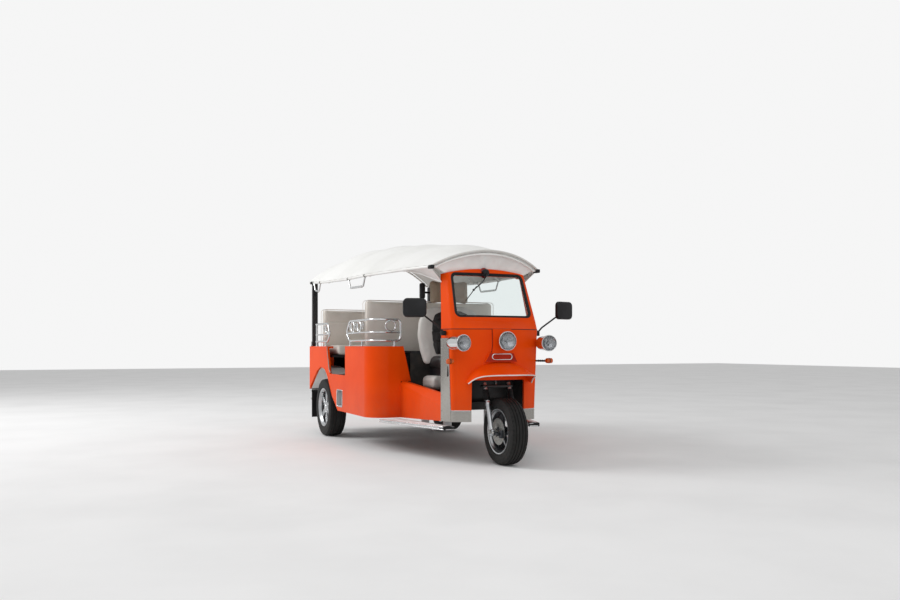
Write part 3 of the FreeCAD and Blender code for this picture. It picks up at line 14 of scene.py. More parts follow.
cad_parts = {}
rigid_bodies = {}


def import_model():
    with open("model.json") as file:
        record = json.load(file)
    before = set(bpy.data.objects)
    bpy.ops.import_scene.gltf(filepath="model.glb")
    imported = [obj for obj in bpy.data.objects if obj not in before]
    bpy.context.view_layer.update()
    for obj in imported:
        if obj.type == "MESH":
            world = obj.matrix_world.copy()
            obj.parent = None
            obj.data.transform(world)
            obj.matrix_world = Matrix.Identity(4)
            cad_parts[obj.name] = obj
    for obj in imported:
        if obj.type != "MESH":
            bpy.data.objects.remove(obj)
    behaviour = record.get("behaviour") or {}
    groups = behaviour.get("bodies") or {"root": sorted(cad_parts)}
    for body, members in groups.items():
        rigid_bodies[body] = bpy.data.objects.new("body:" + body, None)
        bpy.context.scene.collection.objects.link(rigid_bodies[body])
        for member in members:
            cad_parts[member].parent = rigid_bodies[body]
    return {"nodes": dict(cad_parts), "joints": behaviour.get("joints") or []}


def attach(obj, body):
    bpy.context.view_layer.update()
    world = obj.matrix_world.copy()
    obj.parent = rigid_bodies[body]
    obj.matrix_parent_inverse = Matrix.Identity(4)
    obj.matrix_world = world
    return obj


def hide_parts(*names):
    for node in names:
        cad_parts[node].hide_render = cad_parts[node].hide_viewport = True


for leftover in list(bpy.data.objects):
    bpy.data.objects.remove(leftover)
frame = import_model()
NODES = frame["nodes"]
JOINTS = {joint["name"]: joint for joint in frame["joints"]}
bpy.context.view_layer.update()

# %% [markdown]
# A workshop measures a vehicle in millimetres, back from the front axle and up from the ground.
# Blender works in metres. One function turns the first into the second, so each size below can be
# read, or checked with a tape, on the real vehicle.

# %% Millimetres from the front axle
MM = 0.001
FRONT_AXLE = Vector(JOINTS["front_spin"]["pos_m"])
REAR_AXLE = Vector(JOINTS["rear_right_spin"]["pos_m"])


def at(x, y, z):
    """A place in mm, left of the middle, behind the front axle and above the ground."""
    return Vector((x * MM, y * MM + FRONT_AXLE.y, z * MM))


print("front axle", FRONT_AXLE, "rear axle", REAR_AXLE)

# %% [markdown]
# The camera stands where the photographer stood: low, ahead of the vehicle and to its right.
# The horizon lies below the middle of the picture, so the lens is shifted, and the camera stays
# level. The floor and the sky are plain and pale, so that paint, chrome and glass speak.

# %% Camera
HORIZON_PX = 347.07
PICTURE_PX = (900, 600)
camera_data = bpy.data.cameras.new("camera")
camera_data.lens = 33.27
camera_data.sensor_width = 36.0
camera_data.shift_y = (HORIZON_PX - PICTURE_PX[1] / 2) / PICTURE_PX[0]
camera = bpy.data.objects.new("camera", camera_data)
camera.location = (-2.9953, -7.2927, 0.9145)
camera.rotation_euler = (math.radians(90), 0, math.radians(-23.685))
bpy.context.scene.collection.objects.link(camera)
bpy.context.scene.camera = camera
bpy.context.scene.view_settings.view_transform = "Standard"
print("camera", tuple(camera.location), "lens", camera_data.lens)

# %% [markdown]
# Colours are written as the hex codes of a paint chart. Blender mixes light in linear values,
# so one function converts them. A second one adds a shader node with its settings and links,
# which keeps each finish below down to a few lines.

# %% Colour and node helpers
def colour(code):
    """A hex code of a paint chart as the linear colour that a shader wants."""
    parts = [int(code[i:i + 2], 16) / 255 for i in (1, 3, 5)]
    linear = [p / 12.92 if p <= 0.04045 else ((p + 0.055) / 1.055) ** 2.4 for p in parts]
    return (*linear, 1.0)


def add(finish, kind, settings=None, links=None):
    """A node in a finish, with its settings and what is plugged into it."""
    tree = finish.node_tree
    node = tree.nodes.new(kind)
    for name, value in (settings or {}).items():
        if isinstance(name, int) or name in node.inputs:
            node.inputs[name].default_value = value
        else:
            setattr(node, name, value)
    for name, source in (links or {}).items():
        tree.links.new(source, node.inputs[name])
    return node


def start_finish(name, base, roughness, metallic=0.0, **sockets):
    """A finish with its shader's plain numbers set."""
    finish = bpy.data.materials.new(name)
    finish.use_nodes = True
    shader = finish.node_tree.nodes["Principled BSDF"]
    shader.inputs["Base Color"].default_value = colour(base)
    shader.inputs["Roughness"].default_value = roughness
    shader.inputs["Metallic"].default_value = metallic
    for socket, value in sockets.items():
        shader.inputs[socket.replace("_", " ")].default_value = value
    return finish


def plug(finish, socket, output):
    """Feed a node's output into a finish's shader."""
    finish.node_tree.links.new(output, finish.node_tree.nodes["Principled BSDF"].inputs[socket])


def pattern(finish, size, stretch=(1, 1, 1), kind="ShaderNodeTexNoise", **settings):
    """A pattern on the object's own coordinates, whose features are size mm wide."""
    where = add(finish, "ShaderNodeTexCoord")
    spread = add(finish, "ShaderNodeMapping", {"Scale": stretch}, {"Vector": where.outputs["Object"]})
    return add(finish, kind, {"Scale": 1 / (size * MM), **settings}, {"Vector": spread.outputs["Vector"]})


def grain(finish, size, height, stretch=(1, 1, 1), kind="ShaderNodeTexNoise", **settings):
    """Raise the surface by a pattern whose features are size mm wide and height mm high."""
    relief = pattern(finish, size, stretch, kind, **settings)
    bump = add(finish, "ShaderNodeBump", {"Distance": height * MM}, {"Height": relief.outputs[0]})
    plug(finish, "Normal", bump.outputs["Normal"])


def tint(finish, base, other, size):
    """Let the colour drift from base to other in patches size mm wide."""
    patches = pattern(finish, size, Detail=5.0)
    share = add(finish, "ShaderNodeMapRange", {"From Min": 0.4, "From Max": 0.7},
                {"Value": patches.outputs[0]})
    mixed = add(finish, "ShaderNodeMix", {"data_type": "RGBA", 6: colour(base), 7: colour(other)},
                {0: share.outputs[0]})
    plug(finish, "Base Color", mixed.outputs[2])
    return mixed


def road_dust(finish, mixed, dust, top, share):
    """Lay road dust over a tinted colour, thick at the ground and gone at top mm."""
    where = add(finish, "ShaderNodeTexCoord")
    height = add(finish, "ShaderNodeSeparateXYZ", {}, {"Vector": where.outputs["Object"]})
    fade = add(finish, "ShaderNodeMapRange", {"From Min": top * MM, "From Max": 0.0, "To Max": share},
               {"Value": height.outputs["Z"]})
    speckle = add(finish, "ShaderNodeTexNoise", {"Scale": 1 / (35 * MM), "Detail": 8.0},
                  {"Vector": where.outputs["Object"]})
    amount = add(finish, "ShaderNodeMath", {"operation": "MULTIPLY"},
                 {0: fade.outputs[0], 1: speckle.outputs[0]})
    covered = add(finish, "ShaderNodeMix", {"data_type": "RGBA", 7: colour(dust)},
                  {0: amount.outputs[0], 6: mixed.outputs[2]})
    plug(finish, "Base Color", covered.outputs[2])


def uneven_gloss(finish, size, low, high, stretch=(1, 1, 1)):
    """Let the roughness wander between two values, as wiped and touched surfaces do."""
    patches = pattern(finish, size, stretch, Detail=4.0)
    level = add(finish, "ShaderNodeMapRange",
                {"From Min": 0.3, "From Max": 0.7, "To Min": low, "To Max": high},
                {"Value": patches.outputs[0]})
    plug(finish, "Roughness", level.outputs[0])


print("enamel orange in linear light", [round(v, 3) for v in colour("#F04E06")])

# %% [markdown]
# The body is sheet steel in orange enamel, sprayed and thinly clear coated. The eye sees a deep even
# colour, weak soft reflections, a faint orange peel about 3 mm wide, and road dust low down.

# %% Paints
enamel_orange = start_finish("gloss_enamel_orange", "#F04E06", 0.4, Specular_IOR_Level=0.06, Coat_Weight=0.08,
                             Coat_Roughness=0.05)
road_dust(enamel_orange, tint(enamel_orange, "#F04E06", "#E64504", 420), "#8A6A55", 620, 0.5)
grain(enamel_orange, 3.2, 0.012, Detail=1.0)

paint_black = start_finish("satin_paint_black", "#16171A", 0.42)
road_dust(paint_black, tint(paint_black, "#16171A", "#222326", 120), "#6E665C", 700, 0.6)
grain(paint_black, 2.4, 0.02, Detail=2.0)

paint_white = start_finish("satin_enamel_white", "#F2F2F0", 0.36, Coat_Weight=0.3, Coat_Roughness=0.2)
tint(paint_white, "#F2F2F0", "#E6E5E1", 260)
grain(paint_white, 3.0, 0.012, Detail=1.0)

# A darker red copy of the orange enamel, for the field at the foot of the nose's middle strip: painted shade
# of a recess.
enamel_painted_shade = start_finish("gloss_enamel_orange_in_painted_shade", "#B0290C", 0.36, Specular_IOR_Level=0.1, Coat_Weight=0.1,
                           Coat_Roughness=0.06)
tint(enamel_painted_shade, "#B0290C", "#9E2208", 60)
grain(enamel_painted_shade, 3.2, 0.012, Detail=1.0)

trim_white = start_finish("pale_edge_trim", "#E9E3DE", 0.4, Specular_IOR_Level=0.4)
tint(trim_white, "#E9E3DE", "#D2CAC3", 90)
print("paints", enamel_orange.name, paint_black.name, paint_white.name)

# %% [markdown]
# The rails and lamps are chrome on steel: nearly a mirror, with wipe marks that only show in
# the highlights. The strips by the doors are stainless sheet with a fine vertical brush, and the steps
# are rolled aluminium that shoes have dulled. Rear wheels are bright cast alloy, the front one is dark.

# %% Metals
chrome = start_finish("bright_chrome_plate", "#DADCDD", 0.06, 1.0)
uneven_gloss(chrome, 60, 0.04, 0.14)

# Its grey is darker than bare stainless: painted shade, for dark surroundings that the sheet reflects.
stainless = start_finish("brushed_stainless_sheet", "#A9A7A3", 0.2, 1.0, Anisotropic=0.6)
uneven_gloss(stainless, 90, 0.16, 0.24, stretch=(1, 1, 0.1))
tint(stainless, "#B7B4AF", "#7F7B75", 2.6)
grain(stainless, 1.2, 0.004, stretch=(1, 1, 0.02), Detail=2.0)

aluminium = start_finish("rolled_aluminium_sheet", "#D6D7D8", 0.48, 0.85)
tint(aluminium, "#D6D7D8", "#C2C2C1", 140)
uneven_gloss(aluminium, 45, 0.4, 0.6)

aluminium_bright = start_finish("polished_aluminium_edge", "#DCDDDE", 0.22, 1.0)
uneven_gloss(aluminium_bright, 30, 0.16, 0.3)

alloy_bright = start_finish("cast_alloy_silver", "#C4C6C8", 0.3, 1.0)
tint(alloy_bright, "#C4C6C8", "#B0B2B4", 90)
grain(alloy_bright, 1.6, 0.02)

alloy_dark = start_finish("cast_alloy_graphite", "#34363A", 0.38, 0.6)
tint(alloy_dark, "#34363A", "#45474B", 70)
grain(alloy_dark, 1.6, 0.03)

zinc = start_finish("zinc_plated_steel", "#A8A9A6", 0.38, 1.0)
tint(zinc, "#A8A9A6", "#8D8B84", 12)
print("metals", chrome.name, stainless.name, aluminium.name, alloy_bright.name, alloy_dark.name, zinc.name)

# %% [markdown]
# Window seals and boots are EPDM rubber, tyres are carbon black rubber with dust in their tread, and
# mirrors and grips are ABS with a moulded grain. The windshield is clear laminated glass, the
# lamps are pressed glass over an aluminised bowl, and the turn lamps are acrylic.

# %% Rubber, plastic and glass
seal_rubber = start_finish("epdm_rubber_black", "#121213", 0.5, Specular_IOR_Level=0.3)
tint(seal_rubber, "#121213", "#1E1E1F", 60)
grain(seal_rubber, 1.1, 0.02)

tyre_rubber = start_finish("tyre_rubber_black", "#151516", 0.66, Specular_IOR_Level=0.25)
road_dust(tyre_rubber, tint(tyre_rubber, "#151516", "#1F1F1F", 40), "#4A4640", 560, 0.3)
grain(tyre_rubber, 1.4, 0.05)

abs_black = start_finish("grained_abs_black", "#141416", 0.4, Specular_IOR_Level=0.3)
tint(abs_black, "#141416", "#1D1D20", 80)
grain(abs_black, 0.9, 0.03)

abs_red = start_finish("moulded_abs_red", "#8E1512", 0.35)
tint(abs_red, "#8E1512", "#A31B15", 30)

glass_clear = start_finish("laminated_glass_clear", "#EEF6F5", 0.0, Transmission_Weight=1.0, IOR=1.5)
uneven_gloss(glass_clear, 120, 0.0, 0.012)

glass_lamp = start_finish("pressed_glass_clear", "#FFFFFF", 0.0, Transmission_Weight=1.0, IOR=1.45)
uneven_gloss(glass_lamp, 40, 0.0, 0.02)

# The bowl's grey is darker than bare aluminium: painted shade, for the dark middle of the lamp.
reflector = start_finish("aluminised_reflector", "#8C8F93", 0.18, 1.0)
uneven_gloss(reflector, 30, 0.08, 0.16)

dial_grey = start_finish("printed_dial_grey", "#3A3C3E", 0.5)
tint(dial_grey, "#3A3C3E", "#505355", 14)

mirror_glass = start_finish("silvered_mirror_glass", "#E8ECEC", 0.02, 1.0)
uneven_gloss(mirror_glass, 80, 0.01, 0.05)

acrylic_amber = start_finish("acrylic_amber", "#E8640C", 0.12, Transmission_Weight=0.35, IOR=1.49)
grain(acrylic_amber, 3.5, 0.25, stretch=(1, 1, 0.05), Detail=0.0)

acrylic_red = start_finish("acrylic_red", "#B4120E", 0.12, Transmission_Weight=0.35, IOR=1.49)
grain(acrylic_red, 4.0, 0.3, stretch=(0.1, 1, 1), Detail=0.0)
print("clear and dark finishes ready")

# %% [markdown]
# The benches wear leatherette, a vinyl pressed with a fine leather grain about 1.5 mm wide, grey beige
# with paler shells on the driver's seat. The roof is vinyl coated polyester, whose weave shows
# faintly through the coat. The floors have a ribbed rubber mat.

# %% Vinyl, fabric and mat
vinyl_beige = start_finish("leatherette_grey_beige", "#E8E2DA", 0.46, Specular_IOR_Level=0.4)
tint(vinyl_beige, "#E8E2DA", "#DDD6CD", 200)
grain(vinyl_beige, 1.7, 0.12, kind="ShaderNodeTexVoronoi")

vinyl_pale = start_finish("leatherette_pale_grey", "#D8D6D2", 0.42, Specular_IOR_Level=0.4)
tint(vinyl_pale, "#D8D6D2", "#CBC8C3", 180)
grain(vinyl_pale, 1.7, 0.1, kind="ShaderNodeTexVoronoi")

vinyl_tan = start_finish("leatherette_tan", "#A5937F", 0.46, Specular_IOR_Level=0.4)
tint(vinyl_tan, "#A5937F", "#978571", 120)
grain(vinyl_tan, 1.7, 0.1, kind="ShaderNodeTexVoronoi")

vinyl_dark = start_finish("leatherette_black", "#1D1C1D", 0.44, Specular_IOR_Level=0.4)
tint(vinyl_dark, "#1D1C1D", "#2A2829", 150)
grain(vinyl_dark, 1.7, 0.1, kind="ShaderNodeTexVoronoi")

roof_vinyl = start_finish("coated_polyester_white", "#F1F1EF", 0.5, Specular_IOR_Level=0.35, Sheen_Weight=0.1)
tint(roof_vinyl, "#F1F1EF", "#E6E6E3", 500)
grain(roof_vinyl, 2.2, 0.05, kind="ShaderNodeTexWave", Distortion=0.3)

# A greyer copy of the roof cloth, for the lining and the hems: painted shade.
roof_cloth_painted_shade = start_finish("coated_polyester_in_painted_shade", "#DAD9D5", 0.62, Specular_IOR_Level=0.3)
tint(roof_cloth_painted_shade, "#DAD9D5", "#CAC8C3", 300)
grain(roof_cloth_painted_shade, 2.2, 0.05, kind="ShaderNodeTexWave", Distortion=0.3)

mat_rubber = start_finish("ribbed_rubber_mat", "#222324", 0.62, Specular_IOR_Level=0.3)
road_dust(mat_rubber, tint(mat_rubber, "#222324", "#35332F", 70), "#6E665C", 1200, 0.35)
grain(mat_rubber, 2.0, 0.05)
print("soft finishes ready")

# %% [markdown]
# Most fittings of a vehicle are turned, bent or pressed, so four small tools make nearly all of them:
# a lathe for lamps and wheels, a tube bender for rails and arms, a rounded block for castings, and a
# flat plate with any outline. Each hands back a bmesh, and one more tool joins several into a piece.

# %% Turned shapes
def turned(outline, centre, axis=(0, 1, 0), steps=64):
    """Turn an outline of (radius, distance along axis) in mm about an axis through centre."""
    shape = bmesh.new()
    points = [shape.verts.new((radius * MM, 0, along * MM)) for radius, along in outline]
    edges = [shape.edges.new(ends) for ends in zip(points, points[1:])]
    bmesh.ops.spin(shape, geom=points + edges, cent=(0, 0, 0), axis=(0, 0, 1), angle=math.tau, steps=steps,
                   use_merge=True, use_duplicate=False)
    bmesh.ops.remove_doubles(shape, verts=shape.verts, dist=1e-6)
    bmesh.ops.recalc_face_normals(shape, faces=shape.faces)
    turn = Vector((0, 0, 1)).rotation_difference(Vector(axis)).to_matrix().to_4x4()
    shape.transform(Matrix.Translation(at(*centre)) @ turn)
    return shape


print("a turned disc has", len(turned([(0, 0), (50, 0), (50, 5), (0, 5)], (0, 0, 0)).faces), "faces")

# %% [markdown]
# A tube bender leaves straight runs with round bends between them. A Bezier curve does the same: each
# corner becomes two points on the runs, whose handles reach towards the corner.

# %% Bent tubes
def bent(points, radius, bend=30.0, roundness=4, closed=False):
    """A round tube through points in mm. Its corners are bent to one radius, or each to its own."""
    corners = [at(*point) for point in points]
    count = len(corners)
    bends = bend if isinstance(bend, list) else [bend] * count
    stops = []
    for index, corner in enumerate(corners):
        if not closed and index in (0, count - 1):
            stops.append((corner, corner, corner))
            continue
        before, after = corners[index - 1], corners[(index + 1) % count]
        back, ahead = before - corner, after - corner
        half_turn = back.angle(ahead) / 2
        reach = min(bends[index] * MM / math.tan(half_turn), 0.49 * back.length, 0.49 * ahead.length)
        back.normalize()
        ahead.normalize()
        pull = reach * (1 - 0.5523 * min(1.0, (math.pi - 2 * half_turn) / (math.pi / 2)))
        stops.append((corner + back * reach, corner + back * reach, corner + back * pull))
        stops.append((corner + ahead * reach, corner + ahead * pull, corner + ahead * reach))
    curve = bpy.data.curves.new("route", "CURVE")
    curve.dimensions = "3D"
    curve.resolution_u = 8
    curve.bevel_depth = radius * MM
    curve.bevel_resolution = roundness
    curve.use_fill_caps = not closed
    spline = curve.splines.new("BEZIER")
    spline.bezier_points.add(len(stops) - 1)
    spline.use_cyclic_u = closed
    for point, (place, left, right) in zip(spline.bezier_points, stops):
        point.co, point.handle_left, point.handle_right = place, left, right
    return curve_shape(curve)


def curve_shape(curve):
    """The tube that a curve describes, as a bmesh."""
    holder = bpy.data.objects.new("route", curve)
    mesh = bpy.data.meshes.new_from_object(holder)
    shape = bmesh.new()
    shape.from_mesh(mesh)
    bmesh.ops.remove_doubles(shape, verts=shape.verts, dist=1e-5)
    bmesh.ops.recalc_face_normals(shape, faces=shape.faces)
    bpy.data.objects.remove(holder)
    bpy.data.curves.remove(curve)
    bpy.data.meshes.remove(mesh)
    return shape


def run(points, radius, roundness=3, closed=False):
    """A tube through closely spaced points in metres, for edges that already curve."""
    curve = bpy.data.curves.new("route", "CURVE")
    curve.dimensions = "3D"
    curve.bevel_depth = radius * MM
    curve.bevel_resolution = roundness
    curve.use_fill_caps = not closed
    spline = curve.splines.new("POLY")
    spline.points.add(len(points) - 1)
    spline.use_cyclic_u = closed
    for point, place in zip(spline.points, points):
        point.co = (*place, 1.0)
    return curve_shape(curve)


print("a bent tube has", len(bent([(0, 0, 0), (100, 0, 0), (100, 100, 0)], 5).faces), "faces")

# %% [markdown]
# Castings and mouldings have no sharp edge. A cube that is stretched to its limits and then bevelled
# gives them, and an outline that is pushed through its thickness gives brackets, spokes and boards.

# %% Blocks and plates
def rounded(shape, radius, segments=3, edges=None):
    """Round edges of a shape to a radius in mm."""
    bmesh.ops.bevel(shape, geom=list(edges if edges is not None else shape.edges), offset=radius * MM,
                    offset_type="OFFSET", affect="EDGES", segments=segments, profile=0.5, material=-1,
                    clamp_overlap=True)
    return shape


def block(xs, ys, zs, radius=2.0, segments=3):
    """A rounded block between three pairs of limits in mm."""
    shape = bmesh.new()
    bmesh.ops.create_cube(shape, size=1.0)
    low, high = at(min(xs), min(ys), min(zs)), at(max(xs), max(ys), max(zs))
    bmesh.ops.scale(shape, vec=high - low, verts=shape.verts)
    bmesh.ops.translate(shape, vec=(low + high) / 2, verts=shape.verts)
    return rounded(shape, radius, segments) if radius else shape


def plate(corners, push, radius=0.0, segments=2):
    """A flat outline of places in metres, pushed by a vector in mm and rounded."""
    shape = bmesh.new()
    face = shape.faces.new([shape.verts.new(corner) for corner in corners])
    pushed = bmesh.ops.extrude_face_region(shape, geom=[face])
    moved = [item for item in pushed["geom"] if isinstance(item, bmesh.types.BMVert)]
    bmesh.ops.translate(shape, vec=Vector(push) * MM, verts=moved)
    bmesh.ops.recalc_face_normals(shape, faces=shape.faces)
    return rounded(shape, radius, segments) if radius else shape


def peg(place, axis, radius, height, steps=6):
    """A short plain cylinder that stands on a place; with six sides it is a bolt's head."""
    return turned([(0, 0), (radius, 0), (radius, height), (0, height)], place, axis, steps)


def add_to(whole, shape):
    """Add a copy of one shape to another."""
    mesh = bpy.data.meshes.new("one")
    shape.to_mesh(mesh)
    whole.from_mesh(mesh)
    bpy.data.meshes.remove(mesh)


def spun(shape, count, centre):
    """Copies of a shape set round a wheel's axis."""
    ring = bmesh.new()
    for index in range(count):
        before = len(ring.verts)
        add_to(ring, shape)
        ring.verts.ensure_lookup_table()
        turn = Matrix.Rotation(math.tau * index / count, 3, Vector((1, 0, 0)))
        bmesh.ops.rotate(ring, cent=at(*centre), matrix=turn, verts=ring.verts[before:])
    shape.free()
    return ring


def joined(*shapes):
    """Several shapes as one."""
    whole = bmesh.new()
    for shape in shapes:
        add_to(whole, shape)
        shape.free()
    return whole


def both_sides(shape):
    """A shape and its mirror image on the vehicle's other side."""
    other = bmesh.new()
    add_to(other, shape)
    bmesh.ops.scale(other, vec=(-1, 1, 1), verts=other.verts)
    bmesh.ops.reverse_faces(other, faces=other.faces)
    return joined(shape, other)


print("a rounded block has", len(block((0, 10), (0, 10), (0, 10)).faces), "faces")

# %% [markdown]
# Fabric, the mudguard and the seams on the nose follow smooth lines. One function walks along such a line,
# and another lays a surface between lines.

# %% Smooth lines and surfaces
def smooth(points, share):
    """The place at a share, 0 to 1, of the smooth line through points."""
    spot = min(max(share, 0.0), 1.0) * (len(points) - 1)
    index = min(int(spot), len(points) - 2)
    t = spot - index
    last = len(points) - 1
    a, b, c, d = (Vector(points[max(0, min(last, index + step))]) for step in (-1, 0, 1, 2))
    return b + 0.5 * t * (c - a + t * (2 * a - 5 * b + 4 * c - d + t * (3 * (b - c) + d - a)))


def smooth_run(points, steps=40):
    """Places in metres along the smooth line through points in mm."""
    return [at(*smooth(points, step / steps)) for step in range(steps + 1)]


def skin(place, along, across, thick=0.0):
    """A surface whose places in mm a function gives, from 0 to 1 along and across it."""
    shape = bmesh.new()
    bmesh.ops.create_grid(shape, x_segments=along, y_segments=across, size=0.5)
    for vert in shape.verts:
        vert.co = at(*place(vert.co.x + 0.5, vert.co.y + 0.5))
    bmesh.ops.recalc_face_normals(shape, faces=shape.faces)
    if thick:
        bmesh.ops.solidify(shape, geom=shape.faces[:], thickness=thick * MM)
        bmesh.ops.recalc_face_normals(shape, faces=shape.faces)
    return shape


def swung(shape, centre, degrees, axis=(0, 0, 1)):
    """A shape turned about an axis through a place in mm."""
    bmesh.ops.rotate(shape, cent=at(*centre), matrix=Matrix.Rotation(math.radians(degrees), 3, Vector(axis)),
                     verts=shape.verts)
    return shape


FORWARD, SIDEWAYS = Vector((0, -1, 0)), Vector((1, 0, 0))


def oval(centre, reach, up, flat=FORWARD, corner=0.5, steps=8):
    """Places in metres round a rounded rectangle that faces a way; reach and up are half sizes in mm."""
    middle = at(*centre)
    side = Vector((0, 0, 1)).cross(flat).normalized()
    radius = corner * 2 * min(reach, up)
    loop = []
    for turn in range(4):
        x_sign, z_sign = ((1, 1), (-1, 1), (-1, -1), (1, -1))[turn]
        for step in range(steps + 1):
            angle = math.pi / 2 * (turn + step / steps)
            x = x_sign * (reach - radius) + radius * math.cos(angle)
            z = z_sign * (up - radius) + radius * math.sin(angle)
            loop.append(middle + side * (x * MM) + Vector((0, 0, z * MM)))
    return loop


print("the middle of a smooth line", smooth([(0, 0, 0), (10, 5, 0), (20, 0, 0)], 0.5))

# %% [markdown]
# A piece is what a mechanic would call one part. It gets its shapes, each with a finish, rides on a
# body of the model, and may stand for plain parts of the model, which are then hidden.

# %% Pieces
def piece(name, parts, body="body", stands_for=(), crease=32.0):
    """An object made of (shape, finish) pairs that rides on a body of the model."""
    mesh = bpy.data.meshes.new(name)
    whole = bmesh.new()
    finishes = []
    for shape, finish in parts:
        if finish not in finishes:
            finishes.append(finish)
        for face in shape.faces:
            face.material_index = finishes.index(finish)
            face.smooth = True
        add_to(whole, shape)
        shape.free()
    whole.to_mesh(mesh)
    whole.free()
    for finish in finishes:
        mesh.materials.append(finish)
    mesh.set_sharp_from_angle(angle=math.radians(crease))
    thing = bpy.data.objects.new(name, mesh)
    bpy.context.scene.collection.objects.link(thing)
    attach(thing, body)
    if stands_for:
        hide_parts(*stands_for)
    print(name, "faces", len(mesh.polygons))
    return thing


# %% [markdown]
# The steel body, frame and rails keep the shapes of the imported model, because they are right as they
# are. They only change from flat colours to the finishes made above.

# %% Finishes of the model's own parts
WORN = {
    enamel_orange: ("nose_panel", "nose_centre", "mudguard", "windshield_surround", "side_sills",
                    "mid_panels",
                    "rear_fenders", "tail_panel"),
    paint_black: ("chassis_frame", "rear_axle", "leaf_springs", "battery_box", "wheel_housing",
                  "driver_seat_base",
                  "bench_plinths", "rear_posts", "handlebar"),
    # The wheel liners' white is partly their paint and partly painted highlight, for sunlight in the arches.
    paint_white: ("wheel_liners", "roof_frame", "front_fascia"),
    chrome: ("lamp_buckets", "rear_bumper", "armrest_rails", "grab_handles"),
    stainless: ("steel_plates",),
    aluminium: ("running_boards", "step_recesses"),
    alloy_bright: ("drive_motor", "fork", "rear_rim_right", "rear_rim_left"),
    alloy_dark: ("front_rim",),
    zinc: ("front_axle",),
    seal_rubber: ("windshield_seal", "mudflaps", "fork_gaiters", "handlebar_grips"),
    tyre_rubber: ("front_tyre", "rear_tyre_right", "rear_tyre_left"),
    abs_black: ("mirrors", "wiper", "dash_panel"),
    glass_clear: ("windshield_glass",),
    glass_lamp: ("lamp_lenses",),
    acrylic_amber: ("indicators",),
    acrylic_red: ("tail_lamps",),
    vinyl_beige: ("mid_cushion", "mid_back", "rear_cushion", "rear_back", "driver_cushion",
                  "driver_backrest"),
    roof_vinyl: ("canopy",),
    mat_rubber: ("cab_floor", "passenger_floor"),
}
for finish, names in WORN.items():
    for name in names:
        for held in NODES[name].material_slots:
            held.material = finish
print("nodes with a finish", sum(len(names) for names in WORN.values()), "of", len(NODES))

# %% [markdown]
# A tyre is moulded in one piece: tread bands between grooves, a rounded shoulder, and a wall that bulges
# and then tucks in to the rim. Its outline is turned, and every second field of the shoulder is
# pressed in, which leaves the blocks that grip at the edge.

# %% Tyres
FRONT_TYRE_R, FRONT_TYRE_W, FRONT_RIM_R = 260.0, 145.0, 171.0
REAR_TYRE_R, REAR_TYRE_W, REAR_RIM_R = 293.0, 175.0, 191.0
WHEELBASE = 2650.0
REAR_WHEEL_X = 655.5


def tyre(name, body, centre, radius, width, rim, grooves, fields):
    """A tyre whose tread has grooves at places across it and fields round its shoulders."""
    half = width / 2
    inner = [(rim - 7, half - 21), (rim + 1, half - 14), (rim + 6, half - 9), (rim + 14, half - 6),
             (rim + 16, half - 3)]
    wall = [((radius + rim) / 2 - 6, half - 1), ((radius + rim) / 2 + 6, half - 0.5),
            (radius - 34, half - 1.5),
            (radius - 30, half - 3.5), (radius - 24, half - 3.5), (radius - 20, half - 4)]
    shoulder = [(radius - 9, half - 8), (radius - 4, half - 20)]
    half_tread = []
    for place in sorted(grooves, reverse=True):
        for across, depth in ((4, 0), (2.5, 6), (-2.5, 6), (-4, 0)):
            crown = (place + across) / half
            half_tread.append((radius - 3.0 * crown * crown - depth, place + across))
    side = inner + wall + shoulder + half_tread
    outline = side + [(r, -x) for r, x in reversed(side)]
    shape = turned([(r, x) for r, x in outline + outline[:1]], centre, (1, 0, 0), fields * 2)
    middle = at(*centre)
    blocks = []
    for face in shape.faces:
        across = abs(face.calc_center_median().x - middle.x) / MM
        spot = face.calc_center_median() - middle
        reach = math.hypot(spot.y, spot.z) / MM
        turn = round((math.atan2(spot.z, spot.y) % math.tau) / math.tau * fields * 2 - 0.5)
        if reach > radius - 22 and half - 20 < across < half - 3 and turn % 2 == 0:
            blocks.append(face)
    bmesh.ops.inset_individual(shape, faces=blocks, thickness=1.2 * MM, depth=-3.5 * MM)
    return piece(name, [(shape, tyre_rubber)], body, (name.replace("rubber", "tyre"),), 40)


tyre("front_rubber", "front_wheel", (0, 0, FRONT_TYRE_R), FRONT_TYRE_R, FRONT_TYRE_W, FRONT_RIM_R,
     (14, 38), 46)
for side, hand in ((-1, "right"), (1, "left")):
    tyre("rear_rubber_" + hand, "rear_wheel_" + hand, (side * REAR_WHEEL_X, WHEELBASE, REAR_TYRE_R),
         REAR_TYRE_R, REAR_TYRE_W, REAR_RIM_R, (0, 26, 52), 50)

# %% [markdown]
# The wheels are cast and then turned bright on the rim's edge. Each spoke is a tapered plate with
# rounded edges, set round the hub. The front wheel is left graphite grey, and the rear ones are silver.

# %% Wheels
WHEEL_STEPS = 72
DISC_STEPS = 60


def spoke(hub, rim, narrow, wide, low, high, centre):
    """One cast spoke that widens from the hub to the rim, between two places along X."""
    x, y, z = centre
    corners = [at(x + low, y - narrow, z + hub), at(x + low, y + narrow, z + hub),
               at(x + low, y + wide * 0.8, z + (hub + rim) * 0.62), at(x + low, y + wide, z + rim),
               at(x + low, y - wide, z + rim), at(x + low, y - wide * 0.8, z + (hub + rim) * 0.62)]
    return plate(corners, (high - low, 0, 0), 5.0, 3)


def barrel(rim, width, centre):
    """The wheel's well and its two edges, which hold the tyre."""
    half = width / 2
    outer = [(rim - 9, half - 20), (rim - 1, half - 12), (rim + 4, half - 11), (rim + 5, half - 9),
             (rim + 4, half - 6),
             (rim - 6, half - 8), (rim - 12, half - 20), (rim - 22, half - 30)]
    other = [(r, -x) for r, x in reversed(outer)]
    return turned(outer + other + [(rim - 25, 0)] + outer[:1], centre, (1, 0, 0), WHEEL_STEPS)


